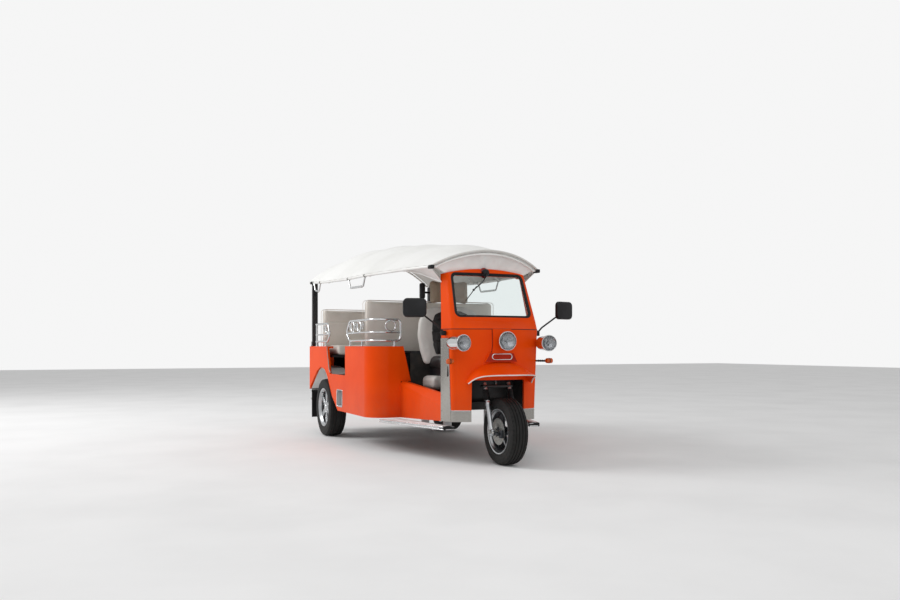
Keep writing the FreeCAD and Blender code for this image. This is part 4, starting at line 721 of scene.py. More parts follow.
def bright_edge(rim, width, side, centre):
    """The turned edge of the rim on one side."""
    half = width / 2
    outline = [(rim - 20, half - 29), (rim - 5, half - 7.5), (rim + 4.5, half - 5.5), (rim + 5.4, half - 9),
               (rim - 4, half - 10)]
    return turned([(r, side * x) for r, x in outline + outline[:1]], centre, (1, 0, 0), WHEEL_STEPS)


def nuts(count, circle, x, side, centre, size=9.0):
    """Wheel nuts with washers, round a circle."""
    x0, y0, z0 = centre
    one = turned([(0, 12), (size * 0.5, 12), (size * 0.8, 8), (size * 0.85, 0), (size * 1.25, 0),
                  (size * 1.25, -2), (0, -2)],
                 (x0 + x, y0, z0 + circle), (side, 0, 0), 6)
    return spun(one, count, centre)


FRONT_HUB = (0, 0, FRONT_TYRE_R)
arms = spun(spoke(26, 152, 15, 25, -24, -6, FRONT_HUB), 5, FRONT_HUB)
hub = turned([(10.5, -62), (34, -62), (38, -40), (42, -30), (42, -4), (34, 6), (34, 62), (10.5, 62),
              (10.5, -62)],
             FRONT_HUB, (1, 0, 0), 48)
disc = turned([(36, -62), (104, -62), (104, -58), (36, -58), (36, -62)], FRONT_HUB, (1, 0, 0), DISC_STEPS)
bmesh.ops.subdivide_edges(disc, edges=[edge for edge in disc.edges if edge.calc_length() > 0.05], cuts=4)
middle = at(*FRONT_HUB)
drilled = []
for face in disc.faces:
    spot = face.calc_center_median() - middle
    reach = math.hypot(spot.y, spot.z) / MM
    turn = round((math.atan2(spot.z, spot.y) % math.tau) / math.tau * DISC_STEPS - 0.5)
    if (turn % 3 == 0 and 62 < reach < 77) or (turn % 3 == 1 and 78 < reach < 92):
        drilled.append(face)
bmesh.ops.inset_individual(disc, faces=drilled, thickness=1.6 * MM, depth=-1.6 * MM)
piece("front_alloy", [(joined(barrel(FRONT_RIM_R, FRONT_TYRE_W, FRONT_HUB), arms, hub), alloy_dark),
                      (joined(bright_edge(FRONT_RIM_R, FRONT_TYRE_W, -1, FRONT_HUB),
                              bright_edge(FRONT_RIM_R, FRONT_TYRE_W, 1, FRONT_HUB)), alloy_bright),
                      (joined(disc, nuts(5, 46, -62, -1, FRONT_HUB, 6.0)), zinc)],
      "front_wheel", ("front_rim",))
for side, hand in ((-1, "right"), (1, "left")):
    hub_at = (side * REAR_WHEEL_X, WHEELBASE, REAR_TYRE_R)
    arms = spun(spoke(34, 172, 19, 30, side * 34, side * 53, hub_at), 6, hub_at)
    hub = turned([(18.5, 56), (30, 60), (46, 56), (62, 50), (62, 34), (46, 26), (46, -56), (18.5, -56),
                  (18.5, 56)],
                 hub_at, (side, 0, 0), 48)
    cap = turned([(0, 67), (14, 67), (24, 65), (29, 60), (31, 54), (0, 54)], hub_at, (side, 0, 0), 48)
    valve = turned([(0, 26), (3, 26), (4, 4), (6, 0), (0, 0)],
                   (hub_at[0] + side * 58, hub_at[1] + 60, hub_at[2] + 148),
                   (side, 0, 0), 12)
    piece("rear_alloy_" + hand, [(joined(barrel(REAR_RIM_R, REAR_TYRE_W, hub_at), arms, hub,
                                         bright_edge(REAR_RIM_R, REAR_TYRE_W, side, hub_at)), alloy_bright),
                                 (joined(cap, nuts(6, 49, side * 54, side, hub_at)), chrome),
                                 (valve, seal_rubber)],
          "rear_wheel_" + hand, ("rear_rim_" + hand,))

# %% [markdown]
# The fork slides on two polished legs. Rubber boots keep grit off them, folded like a bellows so that
# they can shorten. Below them sit silver castings that carry the axle.

# %% Fork
RAKE = math.radians(18.0)
LEG_X = 105.0
BOOT_Z = (494.0, 578.0)
BOOT_FOLDS = 7
SLIDER_Z = (226, 492)
UP_LEG = Vector((0, math.sin(RAKE), math.cos(RAKE)))


def on_axis(z):
    """The steering axis at a height."""
    return (0, 45 + (z - FRONT_TYRE_R) * math.tan(RAKE), z)


def on_leg(side, z):
    """A fork leg's centre at a height."""
    return (side * LEG_X, 27 + (z - FRONT_TYRE_R) * math.tan(RAKE), z)


sliders, boots, bolts = [], [], []
for side in (-1, 1):
    long = (SLIDER_Z[1] - SLIDER_Z[0]) / math.cos(RAKE)
    profile = [(0, 0), (17, 0), (21, 4), (22, 10), (22, 60), (19.5, 70), (19.5, long - 40), (22, long - 34),
               (22, long - 12),
               (20, long - 8), (20, long), (0, long)]
    sliders.append(turned(profile, on_leg(side, SLIDER_Z[0]), UP_LEG, 40))
    sliders.append(block((side * 93, side * 127), (-24, 24), (240, 280), 8.0, 3))
    sliders.append(turned([(16.2, 0), (16.2, 170), (0, 170), (0, 0)], on_leg(side, 470), UP_LEG, 32))
    pitch = (BOOT_Z[1] - BOOT_Z[0]) / math.cos(RAKE) / BOOT_FOLDS
    folds = [(16.6, 0)]
    for index in range(BOOT_FOLDS):
        folds += [(22.5, index * pitch + 0.6), (23.5, index * pitch + pitch * 0.2),
                  (27.6, index * pitch + pitch * 0.46), (27.6, index * pitch + pitch * 0.54),
                  (23.5, index * pitch + pitch * 0.8)]
    folds += [(22.5, BOOT_FOLDS * pitch - 0.6), (16.6, BOOT_FOLDS * pitch), (16.6, 0)]
    boots.append(turned(folds, on_leg(side, BOOT_Z[0]), UP_LEG, 40))
    bolts.append(turned([(0, 8), (6, 8), (8, 5), (8, 0), (0, 0)], (side * 116, -24, 252), (0, -1, 0), 6))
head_y = on_axis(592)[1]
yoke = block((-132, 132), (head_y - 33, head_y + 25), (593, 617), 9.0, 4)
stem = peg(on_axis(596), UP_LEG, 14, 449, 32)
caliper = joined(block((-84, -48), (-92, -46), (214, 276), 7.0, 3),
                 block((-110, -80), (-74, -20), (236, 258), 5.0, 2))
piece("fork_legs", [(joined(*sliders), alloy_bright), (yoke, paint_black), (joined(*bolts), zinc),
                    (stem, chrome)], "steering", ("fork",))
piece("fork_boots", [(joined(*boots), seal_rubber)], "steering", ("fork_gaiters",))
piece("brake_caliper", [(caliper, alloy_dark)], "steering")

# %% [markdown]
# The lamps are spun chrome: a bucket with a rolled bezel, a mirror bowl inside it, a bulb under a small
# cap, and a pressed glass that bulges forward. The side lamps are long cans whose tails stand out a little.

# %% Lamps on the nose
HEAD_LAMP = (0, -46, 961)
SIDE_LAMP = (372, -42, 946)
LAMP_TURN = 7.5


def lamp(place, radius, length, tail):
    """Bucket, bowl, glass and bulb of a round lamp that looks forward."""
    r = radius
    bucket = [(r - 7, 3), (r - 5.5, 0.5), (r - 3, 0), (r - 0.6, 2), (r, 6), (r, 13), (r - 2, 17), (r - 6, 19),
              (r - 7, 26), (r - 8, length * 0.55), (r - 12, length * 0.74), (tail + 12, length * 0.9),
              (tail, length - 1),
              (tail - 4, length), (0, length)]
    bowl = [(r - 6.5, 4), (r - 9, 7), (r * 0.72, 18), (r * 0.5, 28), (r * 0.3, 34), (9, 36), (9, 30), (0, 30)]
    deep = min(1.0, (length - 8) / 46)
    bowl = [(a, b * deep) for a, b in bowl]
    glass = [(0, -7), (r * 0.3, -6.2), (r * 0.6, -3.6), (r - 12, 0), (r - 7, 3.2), (r - 7, 6), (r - 13, 4),
             (r * 0.6, 0.4),
             (r * 0.3, -2.2), (0, -3)]
    bulb = [(0, 8 * deep), (7, 10 * deep), (8.5, 16 * deep), (7, 30 * deep), (0, 32 * deep)]
    shade = [(0, 3.4), (11, 4.6), (13, 9 * deep), (12.2, 9 * deep), (10, 5.6), (0, 4.6)]
    back = (0, 1, 0)
    mirror = joined(turned(bowl, place, back, 72), turned(shade, place, back, 32))
    return (turned(bucket, place, back, 72), turned(glass, place, back, 72), turned(bulb, place, back, 24),
            mirror)


head_metal, head_glass, head_bulb, head_bowl = lamp(HEAD_LAMP, 76, 68, 44)
socket = turned([(0, 0), (26, 0), (23, 5), (20, 12), (20, 40), (0, 40)], (0, 16, HEAD_LAMP[2]), (0, 1, 0), 40)
can_metal, can_glass, can_bulb, can_bowl = lamp(SIDE_LAMP, 65, 213, 30)
bands = []
for y in (58, 104):
    bands.append(turned([(52.4, y), (54.4, y + 2), (54.4, y + 6), (52.4, y + 8), (52.4, y)], SIDE_LAMP,
                        (0, 1, 0), 72))
cans = both_sides(swung(joined(can_metal, *bands), SIDE_LAMP, -LAMP_TURN))
bulbs = joined(head_bulb, both_sides(swung(can_bulb, SIDE_LAMP, -LAMP_TURN)))
glasses = joined(head_glass, both_sides(swung(can_glass, SIDE_LAMP, -LAMP_TURN)))
bowls = joined(head_bowl, both_sides(swung(can_bowl, SIDE_LAMP, -LAMP_TURN)))
piece("nose_lamps", [(joined(head_metal, socket, cans), chrome), (bowls, reflector), (bulbs, glass_lamp)],
      stands_for=("lamp_buckets",), crease=40)
piece("nose_lamp_glasses", [(glasses, glass_lamp)], stands_for=("lamp_lenses",), crease=50)

# %% [markdown]
# The turn lamps are amber barrels with ribbed acrylic on both ends, on stalks of black rubber that
# bend when somebody brushes past them.

# %% Turn lamps
TURN_LAMP = (437, 75, 805)
ends = [(0, 30), (12, 29), (18, 26), (20.5, 21), (21, 14), (21, 3), (19.6, 3), (19.6, -3), (21, -3),
        (21, -14), (20.5, -21),
        (18, -26), (12, -29), (0, -30)]
barrel_lamp = turned(ends, TURN_LAMP, (1, 0, 0), 40)
belt = turned([(19, -3.5), (22, -3), (22, 3), (19, 3.5), (19, -3.5)], TURN_LAMP, (1, 0, 0), 40)
stalk = bent([(432, 90, 805), (418, 112, 803), (372, 186, 803)], 7.5, 40)
rings = []
for share in (0.18, 0.36, 0.54, 0.72):
    place = (428 - 56 * share, 96 + 90 * share, 803.5)
    rings.append(turned([(7, -2.4), (9.4, -1.6), (9.4, 1.6), (7, 2.4), (7, -2.4)], place,
                        (-0.53, 0.85, 0), 24))
piece("turn_lamps", [(both_sides(barrel_lamp), acrylic_amber),
                     (both_sides(joined(belt, stalk, *rings)), seal_rubber)],
      stands_for=("indicators",))

# %% [markdown]
# Each mirror is a moulded shell with a rim round its glass. The shell is a rounded block whose back is
# drawn out into a dome, and the glass lies in a shallow pocket that faces the driver.

# %% Mirrors
MIRROR = (669, 222, 1219)
MIRROR_HALF = (92, 17, 74)
MIRROR_TURN = 17.0
shell = block(*((middle - half, middle + half) for middle, half in zip(MIRROR, MIRROR_HALF)), 0)
uprights = [edge for edge in shell.edges if abs((edge.verts[0].co - edge.verts[1].co).y) > 0.02]
rounded(shell, 36, 8, uprights)
nose_side = [edge for edge in shell.edges if all(vert.co.y < at(0, 206, 0).y for vert in edge.verts)]
rounded(shell, 15, 5, nose_side)
back_face = max(shell.faces, key=lambda face: (face.calc_center_median().y, face.calc_area()))
bmesh.ops.inset_region(shell, faces=[back_face], thickness=5 * MM, depth=0)
bmesh.ops.inset_region(shell, faces=[back_face], thickness=1.5 * MM, depth=-3 * MM)
glass_face = [vert.co.copy() + Vector((0, 0.0008, 0)) for vert in back_face.verts]
silver = swung(plate(glass_face, (0, -1.0, 0)), MIRROR, MIRROR_TURN)
shell = swung(shell, MIRROR, MIRROR_TURN)
arm = bent([(424, 245, 1030), (464, 241, 1074), (629, 224, 1189), (642, 226, 1200)], 7, 30)
knuckle = turned([(0, -16), (10, -16), (13, -10), (13, 10), (10, 16), (0, 16)], (634, 228, 1194),
                 (0.3, 0.95, 0), 32)
clamp = joined(block((402, 438), (226, 264), (1006, 1044), 5),
               peg((438, 245, 1025), (1, 0, 0), 7, 5),
               turned([(0, 0), (13, 0), (11, 12), (8, 14), (0, 14)], (426, 246, 1036), (0.6, 0.1, 0.8), 24))
piece("door_mirrors", [(both_sides(joined(shell, arm, knuckle, clamp)), abs_black),
                       (both_sides(silver), mirror_glass)],
      stands_for=("mirrors",), crease=28)

# %% [markdown]
# Seams and trims follow the cab, so its plan is written once: half width, corner, bow and side at four
# heights. The front is an arc between two round corners.

# %% The cab's outline
CAB_LEVELS = ((328, 369, 185, 87, 408), (1056, 389, 165, 66, 408), (1122, 384, 184, 166, 402),
              (1550, 352, 352, 338, 366))
CAB_CORNER = 34.0
CAB_BACK_Y = 315
SEAM_Z = 1056


def cab_plan(z):
    """Half width, corner, bow and side of the cab's plan at a height."""
    for low, high in zip(CAB_LEVELS, CAB_LEVELS[1:]):
        if z <= high[0] or high is CAB_LEVELS[-1]:
            share = (z - low[0]) / (high[0] - low[0])
            return [a + (b - a) * share for a, b in zip(low[1:], high[1:])]


def cab_front(x, z, proud=0.0):
    """The cab's front face at a place across it and a height, moved forward by proud."""
    half, corner, bow, _ = cab_plan(z)
    chord, deep = half - CAB_CORNER, corner - CAB_CORNER / 4 - bow
    radius = (chord * chord + deep * deep) / (2 * deep)
    return (x, bow + radius - math.sqrt(radius * radius - x * x) - proud, z)


def cab_side(y, z, proud=0.0):
    """The cab's left side at a place along it and a height, moved outwards by proud."""
    half, corner, _, side = cab_plan(z)
    start = corner + CAB_CORNER * 0.9
    share = (y - start) / (CAB_BACK_Y - start)
    return (half + (side - half) * share + proud, y, z)


def cab_loop(z, proud=0.0):
    """Places in metres round the cab at a height, from its right side over the front to its left side."""
    half, corner, _, side = cab_plan(z)
    turn = [(half + proud, corner + 30.6, z), (half - 8.8 + proud * 0.7, corner + 6.1 - proud * 0.7, z),
            cab_front(half - CAB_CORNER, z, proud)]
    front = [at(*cab_front(-(half - CAB_CORNER) * (1 - step / 14), z, proud)) for step in range(29)]
    left = [at(side + proud, CAB_BACK_Y, z)] + smooth_run(turn, 8)
    right = [Vector((-place.x, place.y, place.z)) for place in left]
    return right[:-1] + front + left[::-1][1:]


print("cab front in the middle", cab_front(0, 900), "and beside the strip", cab_front(79, 900))

# %% [markdown]
# The nose is made of pressings that meet in narrow gaps. A dark gap under the windshield frame and one on
# each side of the middle strip tell the eye that these are separate sheets; their black beads are painted
# shade in the gaps. In the strip's foot lies a field in a deeper red, painted shade of a recess, with a plain
# bright loop.

# %% Nose seams and field
# The black beads stand for the gaps between the pressings: painted shade in the gaps.
seams = [run(cab_loop(SEAM_Z, 0.4), 2.6)]
for side in (-1, 1):
    edge = [(side * 79.5, 1054), (side * 75.5, 925), (side * 85.5, 850), (side * 95, 828)]
    seams.append(run([at(*cab_front(*smooth(edge, step / 24), 1.0)) for step in range(25)], 2.4))
piece("nose_seams", [(joined(*seams), seal_rubber)])

FOOT_HALF, TOP_HALF = 140, 104
FIELD_LOW, FIELD_HIGH = 800, 866
FIELD_PROUD = 22.0


def field_place(u, v):
    """A place on the field, from right to left and from its foot up."""
    x = (2 * FOOT_HALF * u - FOOT_HALF) * (1 - 0.2571 * v) * (1 - 0.02 * math.sin(math.pi * v))
    return cab_front(x, FIELD_LOW + (FIELD_HIGH - FIELD_LOW) * v, FIELD_PROUD - 1.5 * math.sin(math.pi * v))


field = skin(field_place, 24, 6, 3.0)
corners = [(-FOOT_HALF, FIELD_LOW), (FOOT_HALF, FIELD_LOW), (TOP_HALF, FIELD_HIGH), (-TOP_HALF, FIELD_HIGH)]
brim = []
for start, end, steps in zip(corners, corners[1:] + corners[:1], (20, 6, 16, 6)):
    for step in range(steps):
        x, z = Vector(start).lerp(Vector(end), step / steps)
        brim.append(at(*cab_front(x, z, FIELD_PROUD)))
cheeks = []
for side in (-1, 1):
    cheek = [at(*cab_front(side * x, z, FIELD_PROUD - 2))
             for x, z in ((84, FIELD_HIGH - 4), (TOP_HALF, FIELD_HIGH), (FOOT_HALF, FIELD_LOW),
                          (TOP_HALF, FIELD_LOW))]
    cheeks.append(plate(cheek, (0, 26, 0)))
loop = []
for place in oval((0, 40, 838), 86, 22, corner=0.5):
    loop.append(at(*cab_front(place.x / MM, place.z / MM, 26.0)))
piece("nose_field", [(field, enamel_painted_shade), (joined(run(brim, 2.6, closed=True), *cheeks), enamel_orange),
                     (run(loop, 4.5, roundness=4, closed=True), chrome)])

# %% [markdown]
# The stainless strips and the kick plate are riveted. Domed heads sit every 60 mm along both edges, and a
# dark slot in each strip lets a cable through.

# %% Rivets
heads = []
rivet = [(0, 2.6), (3, 2.1), (5, 0.6), (5.2, 0), (0, 0)]
for z in range(350, 985, 62):
    for y in (214, 306):
        place = cab_side(y, z, 4)
        heads.append(turned(rivet, place, (1, 0, 0), 12))
cable_slot = plate(oval(cab_side(232, 724, 3.4), 11, 42, SIDEWAYS), (1.4, 0, 0))
piece("strip_rivets", [(both_sides(joined(*heads)), zinc), (both_sides(cable_slot), seal_rubber)])
edge_beads = []
for z in (332, 416):
    edge_beads.append(run([place for place in cab_loop(z, 1.0) if abs(place.x) > 0.236 and place.x < 0], 2.4))
piece("kick_plate_beads", [(both_sides(joined(*edge_beads)), chrome)])

# %% [markdown]
# The scoop over the front wheel is pressed from one sheet: a high crown in the middle, two flared wings, and
# a pale rubber trim pushed over its sharp lip.

# %% Mudguard
LIP = [(0, -150, 700), (70, -145, 700), (135, -130, 699), (190, -107, 696), (228, -72, 690), (248, -20, 678),
       (262, 30, 660), (278, 80, 632)]
ROOT = [(0, 104, 804), (70, 104, 801), (125, 108, 788), (170, 114, 768), (210, 122, 742), (240, 136, 712),
        (262, 160, 682), (284, 190, 642)]
LIP_LINE = [(-x, y, z) for x, y, z in LIP[:0:-1]] + LIP
ROOT_LINE = [(-x, y, z) for x, y, z in ROOT[:0:-1]] + ROOT


def guard(u, v):
    """A place on the scoop, from its right wing to its left one and from its lip up to the nose."""
    lip, root = smooth(LIP_LINE, u), smooth(ROOT_LINE, u)
    place = lip + (root - lip) * v
    crown = math.sin(math.pi * u) * math.sin(math.pi * v)
    place.z += 9 * crown + 3.0 * math.sin(math.pi * u) * math.exp(-((v - 0.06) / 0.05) ** 2)
    return place


scoop = skin(guard, 84, 22, 3.0)
trim = run([at(*(smooth(LIP_LINE, step / 90) + Vector((0, 0, -1)))) for step in range(91)], 5.0)
piece("wheel_scoop", [(scoop, enamel_orange), (trim, trim_white)], stands_for=("mudguard",),
      crease=50)

# %% [markdown]
# The windshield sits in a rubber gasket with soft round corners. A filler strip is pressed into its groove,
# and that thin raised line is what makes a rubber frame look real.

# %% Gasket
WINDOW = dict(low=1146.0, high=1512.0, low_half=342.0, high_half=322.0, corner=54.0)
WINDOW_FOOT_Y, WINDOW_FOOT_Z = 184, 1122
WINDOW_LEAN, WINDOW_RISE = 168.0, 428.0
WINDOW_TILT = math.atan2(WINDOW_LEAN, WINDOW_RISE)


def window_y(z):
    """The raked front's face in the middle, at a height."""
    return WINDOW_FOOT_Y + WINDOW_LEAN * (z - WINDOW_FOOT_Z) / WINDOW_RISE


def window_loop(inset, proud=0.0, steps=10):
    """Places in metres round the window, moved in from its edge and forward of its face."""
    corner = WINDOW["corner"] - inset
    low, high = WINDOW["low_half"] - inset, WINDOW["high_half"] - inset
    tall = (WINDOW["high"] - WINDOW["low"]) / math.cos(WINDOW_TILT)
    flat = [(low, inset), (high, tall - inset), (-high, tall - inset), (-low, inset)]
    loop = []
    for index, point in enumerate(flat):
        here, before, after = Vector(point), Vector(flat[index - 1]), Vector(flat[(index + 1) % 4])
        back, ahead = (before - here).normalized(), (after - here).normalized()
        half_turn = back.angle(ahead) / 2
        reach = corner / math.tan(half_turn)
        start, end = here + back * reach, here + ahead * reach
        middle = here + (back + ahead).normalized() * (corner / math.sin(half_turn))
        for step in range(steps + 1):
            spot = start.lerp(end, step / steps) - middle
            loop.append(middle + spot.normalized() * corner)
    places = []
    for spot in loop:
        y = window_y(WINDOW["low"]) + spot.y * math.sin(WINDOW_TILT) - proud * math.cos(WINDOW_TILT)
        z = WINDOW["low"] + spot.y * math.cos(WINDOW_TILT) + proud * math.sin(WINDOW_TILT)
        places.append(at(spot.x, y, z))
    return places


gasket = joined(run(window_loop(10.5, 0.0), 12.0, roundness=5, closed=True),
                run(window_loop(4.0, 4.0), 7.0, roundness=4, closed=True))
filler = run(window_loop(11.0, 11.4), 2.6, roundness=3, closed=True)
piece("window_gasket", [(joined(gasket, filler), seal_rubber)], stands_for=("windshield_seal",))

# %% [markdown]
# The wiper hangs from a motor at the top. Its arm is a flat spring steel bar that ends in a claw, and the
# claw holds a rubber blade against the glass.

# %% Wiper
MOTOR_X, MOTOR_Z = -18, 1518
hub_at = (MOTOR_X, window_y(MOTOR_Z), MOTOR_Z)
cover = turned([(0, -58), (12, -57), (22, -52), (28, -43), (30, -32), (30, 10), (0, 10)], hub_at,
               (0, 1, 0), 48)
skirt = turned([(30, -12), (38, -10), (41, -4), (42, 6), (30, 6), (30, -12)], hub_at, (0, 1, 0), 48)
shaft_at = (MOTOR_X, window_y(MOTOR_Z), MOTOR_Z - 6)
shaft = turned([(0, -66), (6, -65), (9, -60), (9, -52), (0, -52)], shaft_at, (0, 1, 0), 24)
arm_path = [(MOTOR_X, window_y(MOTOR_Z) - 62, MOTOR_Z - 8), (-60, window_y(1440) - 36, 1440),
            (-150, window_y(1372) - 25, 1372)]
arm = bent(arm_path, 4.6, 24)
holder = bent([(-120, window_y(1400) - 23, 1400), (-226, window_y(1290) - 23, 1290)], 3.4)
blade = plate([at(-114, window_y(1405) - 20, 1405), at(-230, window_y(1285) - 20, 1285),
               at(-230, window_y(1285) - 13, 1285), at(-114, window_y(1405) - 13, 1405)], (2.4, 0, -2.2))
claw = block((-158, -142), (window_y(1372) - 31, window_y(1372) - 19), (1364, 1380), 3)
piece("windshield_wiper",
      [(joined(cover, arm, holder, claw, shaft), abs_black), (skirt, abs_red), (blade, seal_rubber)],
      stands_for=("wiper",))

# %% [markdown]
# The boards under the doors are bright sheet with a rolled edge, pressed ribs to step on, and a rubber
# nose where they turn in. The footholds are bright boxes with a frame and bars in the tread.

# %% Steps
outer_edge = bent([(662, 1076, 288), (440, 250, 288), (424, 214, 288), (338, 222, 288)], 4.4, 18)
lower_edge = bent([(663, 1076, 268), (441, 250, 268), (425, 213, 268), (338, 220, 268)], 5.0, 18)
ribs = []
for share in (0.18, 0.34, 0.5, 0.66, 0.82):
    front = (424 + (350 - 424) * share, 268)
    rear = (652 + (478 - 652) * share, 1062)
    ribs.append(bent([(front[0], front[1], 290.5), (rear[0], rear[1], 290.5)], 3.2, roundness=2))
nose_corners = [at(448, 268, 262.5), at(441, 246, 262.5), at(426, 208, 262.5), at(334, 219, 262.5),
                at(346, 268, 262.5)]
nose_pad = plate(nose_corners, (0, 0, 30), 4.0, 2)
bolts = [turned([(0, 3), (5, 2.6), (7, 0.6), (7, 0), (0, 0)], place, (0, 0, 1), 16)
         for place in ((460, 690, 290), (515, 880, 290), (410, 480, 290))]
piece("board_edges", [(both_sides(joined(outer_edge, lower_edge, *bolts)), aluminium_bright),
                      (both_sides(joined(*ribs)), aluminium), (both_sides(nose_pad), seal_rubber)])

frame_loop = oval((747, 2021, 421), 92, 80, SIDEWAYS, 0.12)
treads = [block((x, x + 5), (1942, 2100), (348, 351), 1, 1) for x in range(664, 742, 13)]
piece("foothold_frames", [(both_sides(joined(run(frame_loop, 4.5, closed=True), *treads)), chrome)])

# %% [markdown]
# The rear wheel openings have a rolled lip, and the rear quarters end in a bright strip where people
# climb in.

# %% Openings and trims
ARCH = [(2082, 298), (2296, 436), (2456, 619), (2560, 690), (2725, 712), (2860, 672), (3010, 583),
        (3188, 464)]
lip = bent([(744, y, z) for y, z in ARCH], 4.5, 40, 3)
strip = bent([(746, 2474, 918), (746, 2474, 880), (746, 2404, 698), (746, 2380, 664), (746, 2330, 664)],
             4.5, 24)
ledge = bent([(744, 1846, 919), (744, 1300, 919)], 3.5)
quarter = bent([(744, 2478, 919), (744, 3186, 919)], 3.5)
piece("arch_lips", [(both_sides(lip), enamel_orange)])
piece("entry_strips", [(both_sides(strip), stainless), (both_sides(joined(ledge, quarter)), enamel_orange)])

# %% [markdown]
# The roof is one sheet of coated polyester, pulled over the bows and wrapped round the side tubes. It sags a
# little between the bows and pulls into faint folds near its edges. A lining hides the bows, and the
# hems are welded round a cord. Lining and hems share a greyer copy of the roof cloth, which is painted shade.

# %% Roof
ROOF_ROWS = [(335, 255, 482, 1568, 1700), (720, 700, 605, 1565, 1788), (1400, 1400, 683, 1574, 1868),
             (2000, 2000, 697, 1580, 1925), (2700, 2700, 706, 1604, 1960), (3316, 3300, 716, 1640, 1925)]


def roof(u, v, sink=0.0):
    """A place on the roof, from the front hem to the rear one and from right to left, lowered by sink."""
    spot = u * (len(ROOF_ROWS) - 1)
    index = min(int(spot), len(ROOF_ROWS) - 2)
    row = Vector(ROOF_ROWS[index]).lerp(Vector(ROOF_ROWS[index + 1]), spot - index)
    edge_y, crown_y, half, edge_z, crown_z = row
    rise = math.hypot(crown_y - edge_y, crown_z - edge_z)
    radius = (half * half + rise * rise) / (2 * rise)
    angle = math.asin(half / radius) * (2 * v - 1)
    share = (radius * math.cos(angle) - radius + rise) / rise
    slack = math.sin(math.pi * (spot - index))
    edge = abs(2 * v - 1)
    folds = 1.6 * math.sin(spot * 23.0) * max(0.0, edge - 0.82) / 0.18 * slack
    sag = (5.0 * slack * (1 - edge ** 4) + 1.2 + folds)
    return (radius * math.sin(angle) * (1 - (sink + sag) / 2600), edge_y + (crown_y - edge_y) * share,
            edge_z + (crown_z - edge_z) * share - sag - sink)


def flat_area(shape):
    """The area in square metres of one side of a thin closed sheet."""
    return sum(face.calc_area() for face in shape.faces) / 2


def roof_line(u, v_steps, sink):
    """Places in metres along a bow's line over the roof."""
    return [at(*roof(u, step / v_steps, sink)) for step in range(v_steps + 1)]


cover = skin(lambda u, v: roof(u, v, 0.6), 110, 64, 2.0)
cover_area = flat_area(cover)
canopy = piece("canopy_cover", [(cover, roof_vinyl)], stands_for=("canopy",), crease=60)
under = skin(lambda u, v: roof(0.004 + 0.992 * u, 0.012 + 0.976 * v, 12.4), 90, 48, 1.6)
under_area = flat_area(under)
lining = piece("canopy_lining", [(under, roof_cloth_painted_shade)], crease=60)
hems = []
for side in (0.0, 1.0):
    inward = Vector((4.5 - 9 * side, 0, 0))
    rail = [at(*(Vector(roof(step / 120, side, 6.8)) + inward)) for step in range(121)]
    hems.append(run(rail, 8.0, roundness=3))
for end in (0.0, 1.0):
    hems.append(run(roof_line(end, 60, 7.2), 7.6, roundness=3))
hem = piece("canopy_hems", [(joined(*hems), roof_cloth_painted_shade)], crease=60)
seam_beads = [run(roof_line(place, 56, -0.2), 2.0, roundness=1) for place in (0.2, 0.4, 0.6, 0.8)]
seam = piece("canopy_seams", [(joined(*seam_beads), roof_vinyl)], crease=60)
print("roof cloth", round(cover_area, 2), "lining", round(under_area, 2), "square metres")

# %% [markdown]
# Under the roof's front bow a second cloth closes the gap to the windshield frame. It is gathered, so
# folds fan out from its middle. White gussets of sheet steel tie the frame's sides to the roof tubes.

# %% Visor and gussets
def visor(u, v):
    """A place on the visor's cloth, from right to left and from the frame up to the bow."""
    def bow(half, edge_y, edge_z, crown_y, crown_z):
        x = half * (2 * u - 1)
        rise = crown_z - edge_z
        radius = (half * half + rise * rise) / (2 * rise)
        share = (math.sqrt(radius * radius - x * x) - radius + rise) / rise
        return Vector((x, edge_y + (crown_y - edge_y) * share, edge_z + rise * share))
    low = bow(358, 372, 1512, 354, 1552)
    high = bow(462, 352, 1566, 272, 1690)
    place = low.lerp(high, v)
    fan = math.sin(math.pi * u) ** 0.5
    folds = math.sin(u * 30 + 7.0 * (u - 0.5) * v) * 5.5 + math.sin(u * 67 + 2.0) * 2.4
    place.y += (10 - folds * fan) * math.sin(math.pi * min(1.0, v * 1.02)) - 4
    return place


visor_shape = skin(visor, 150, 20, 1.6)
visor_area = flat_area(visor_shape)
visor_cloth = piece("visor_cloth", [(visor_shape, roof_vinyl)], stands_for=("front_fascia",),
                    crease=60)
visor_edges = [run([at(*(Vector(visor(step / 60, v)) + Vector((0, 2, 0)))) for step in range(61)], 4.5)
               for v in (0.0, 1.0)]
for u in (0.0, 1.0):
    visor_edges.append(run([at(*visor(u, step / 8)) for step in range(9)], 4.5))
visor_hem = piece("visor_hems", [(joined(*visor_edges), roof_cloth_painted_shade)], crease=60)
print("visor cloth", round(visor_area, 3), "square metres")


def tube_centre(y):
    """Centre of the left roof tube at a place along the roof."""
    for row, after in zip(ROOF_ROWS, ROOF_ROWS[1:]):
        if y <= after[0]:
            share = (y - row[0]) / (after[0] - row[0])
            return Vector((row[2] + (after[2] - row[2]) * share - 8, y,
                           row[3] + (after[3] - row[3]) * share - 13))


def gusset(u, v):
    """A place on the left gusset, from the windshield frame back and from its arched edge up."""
    top = tube_centre(360 + 430 * u) - Vector((0, 0, 4))
    low = Vector((372 + 235 * u ** 1.2, 392 + 395 * u, 1440 + 112 * math.sin(u * math.pi / 2) ** 1.25))
    return low.lerp(top, v)


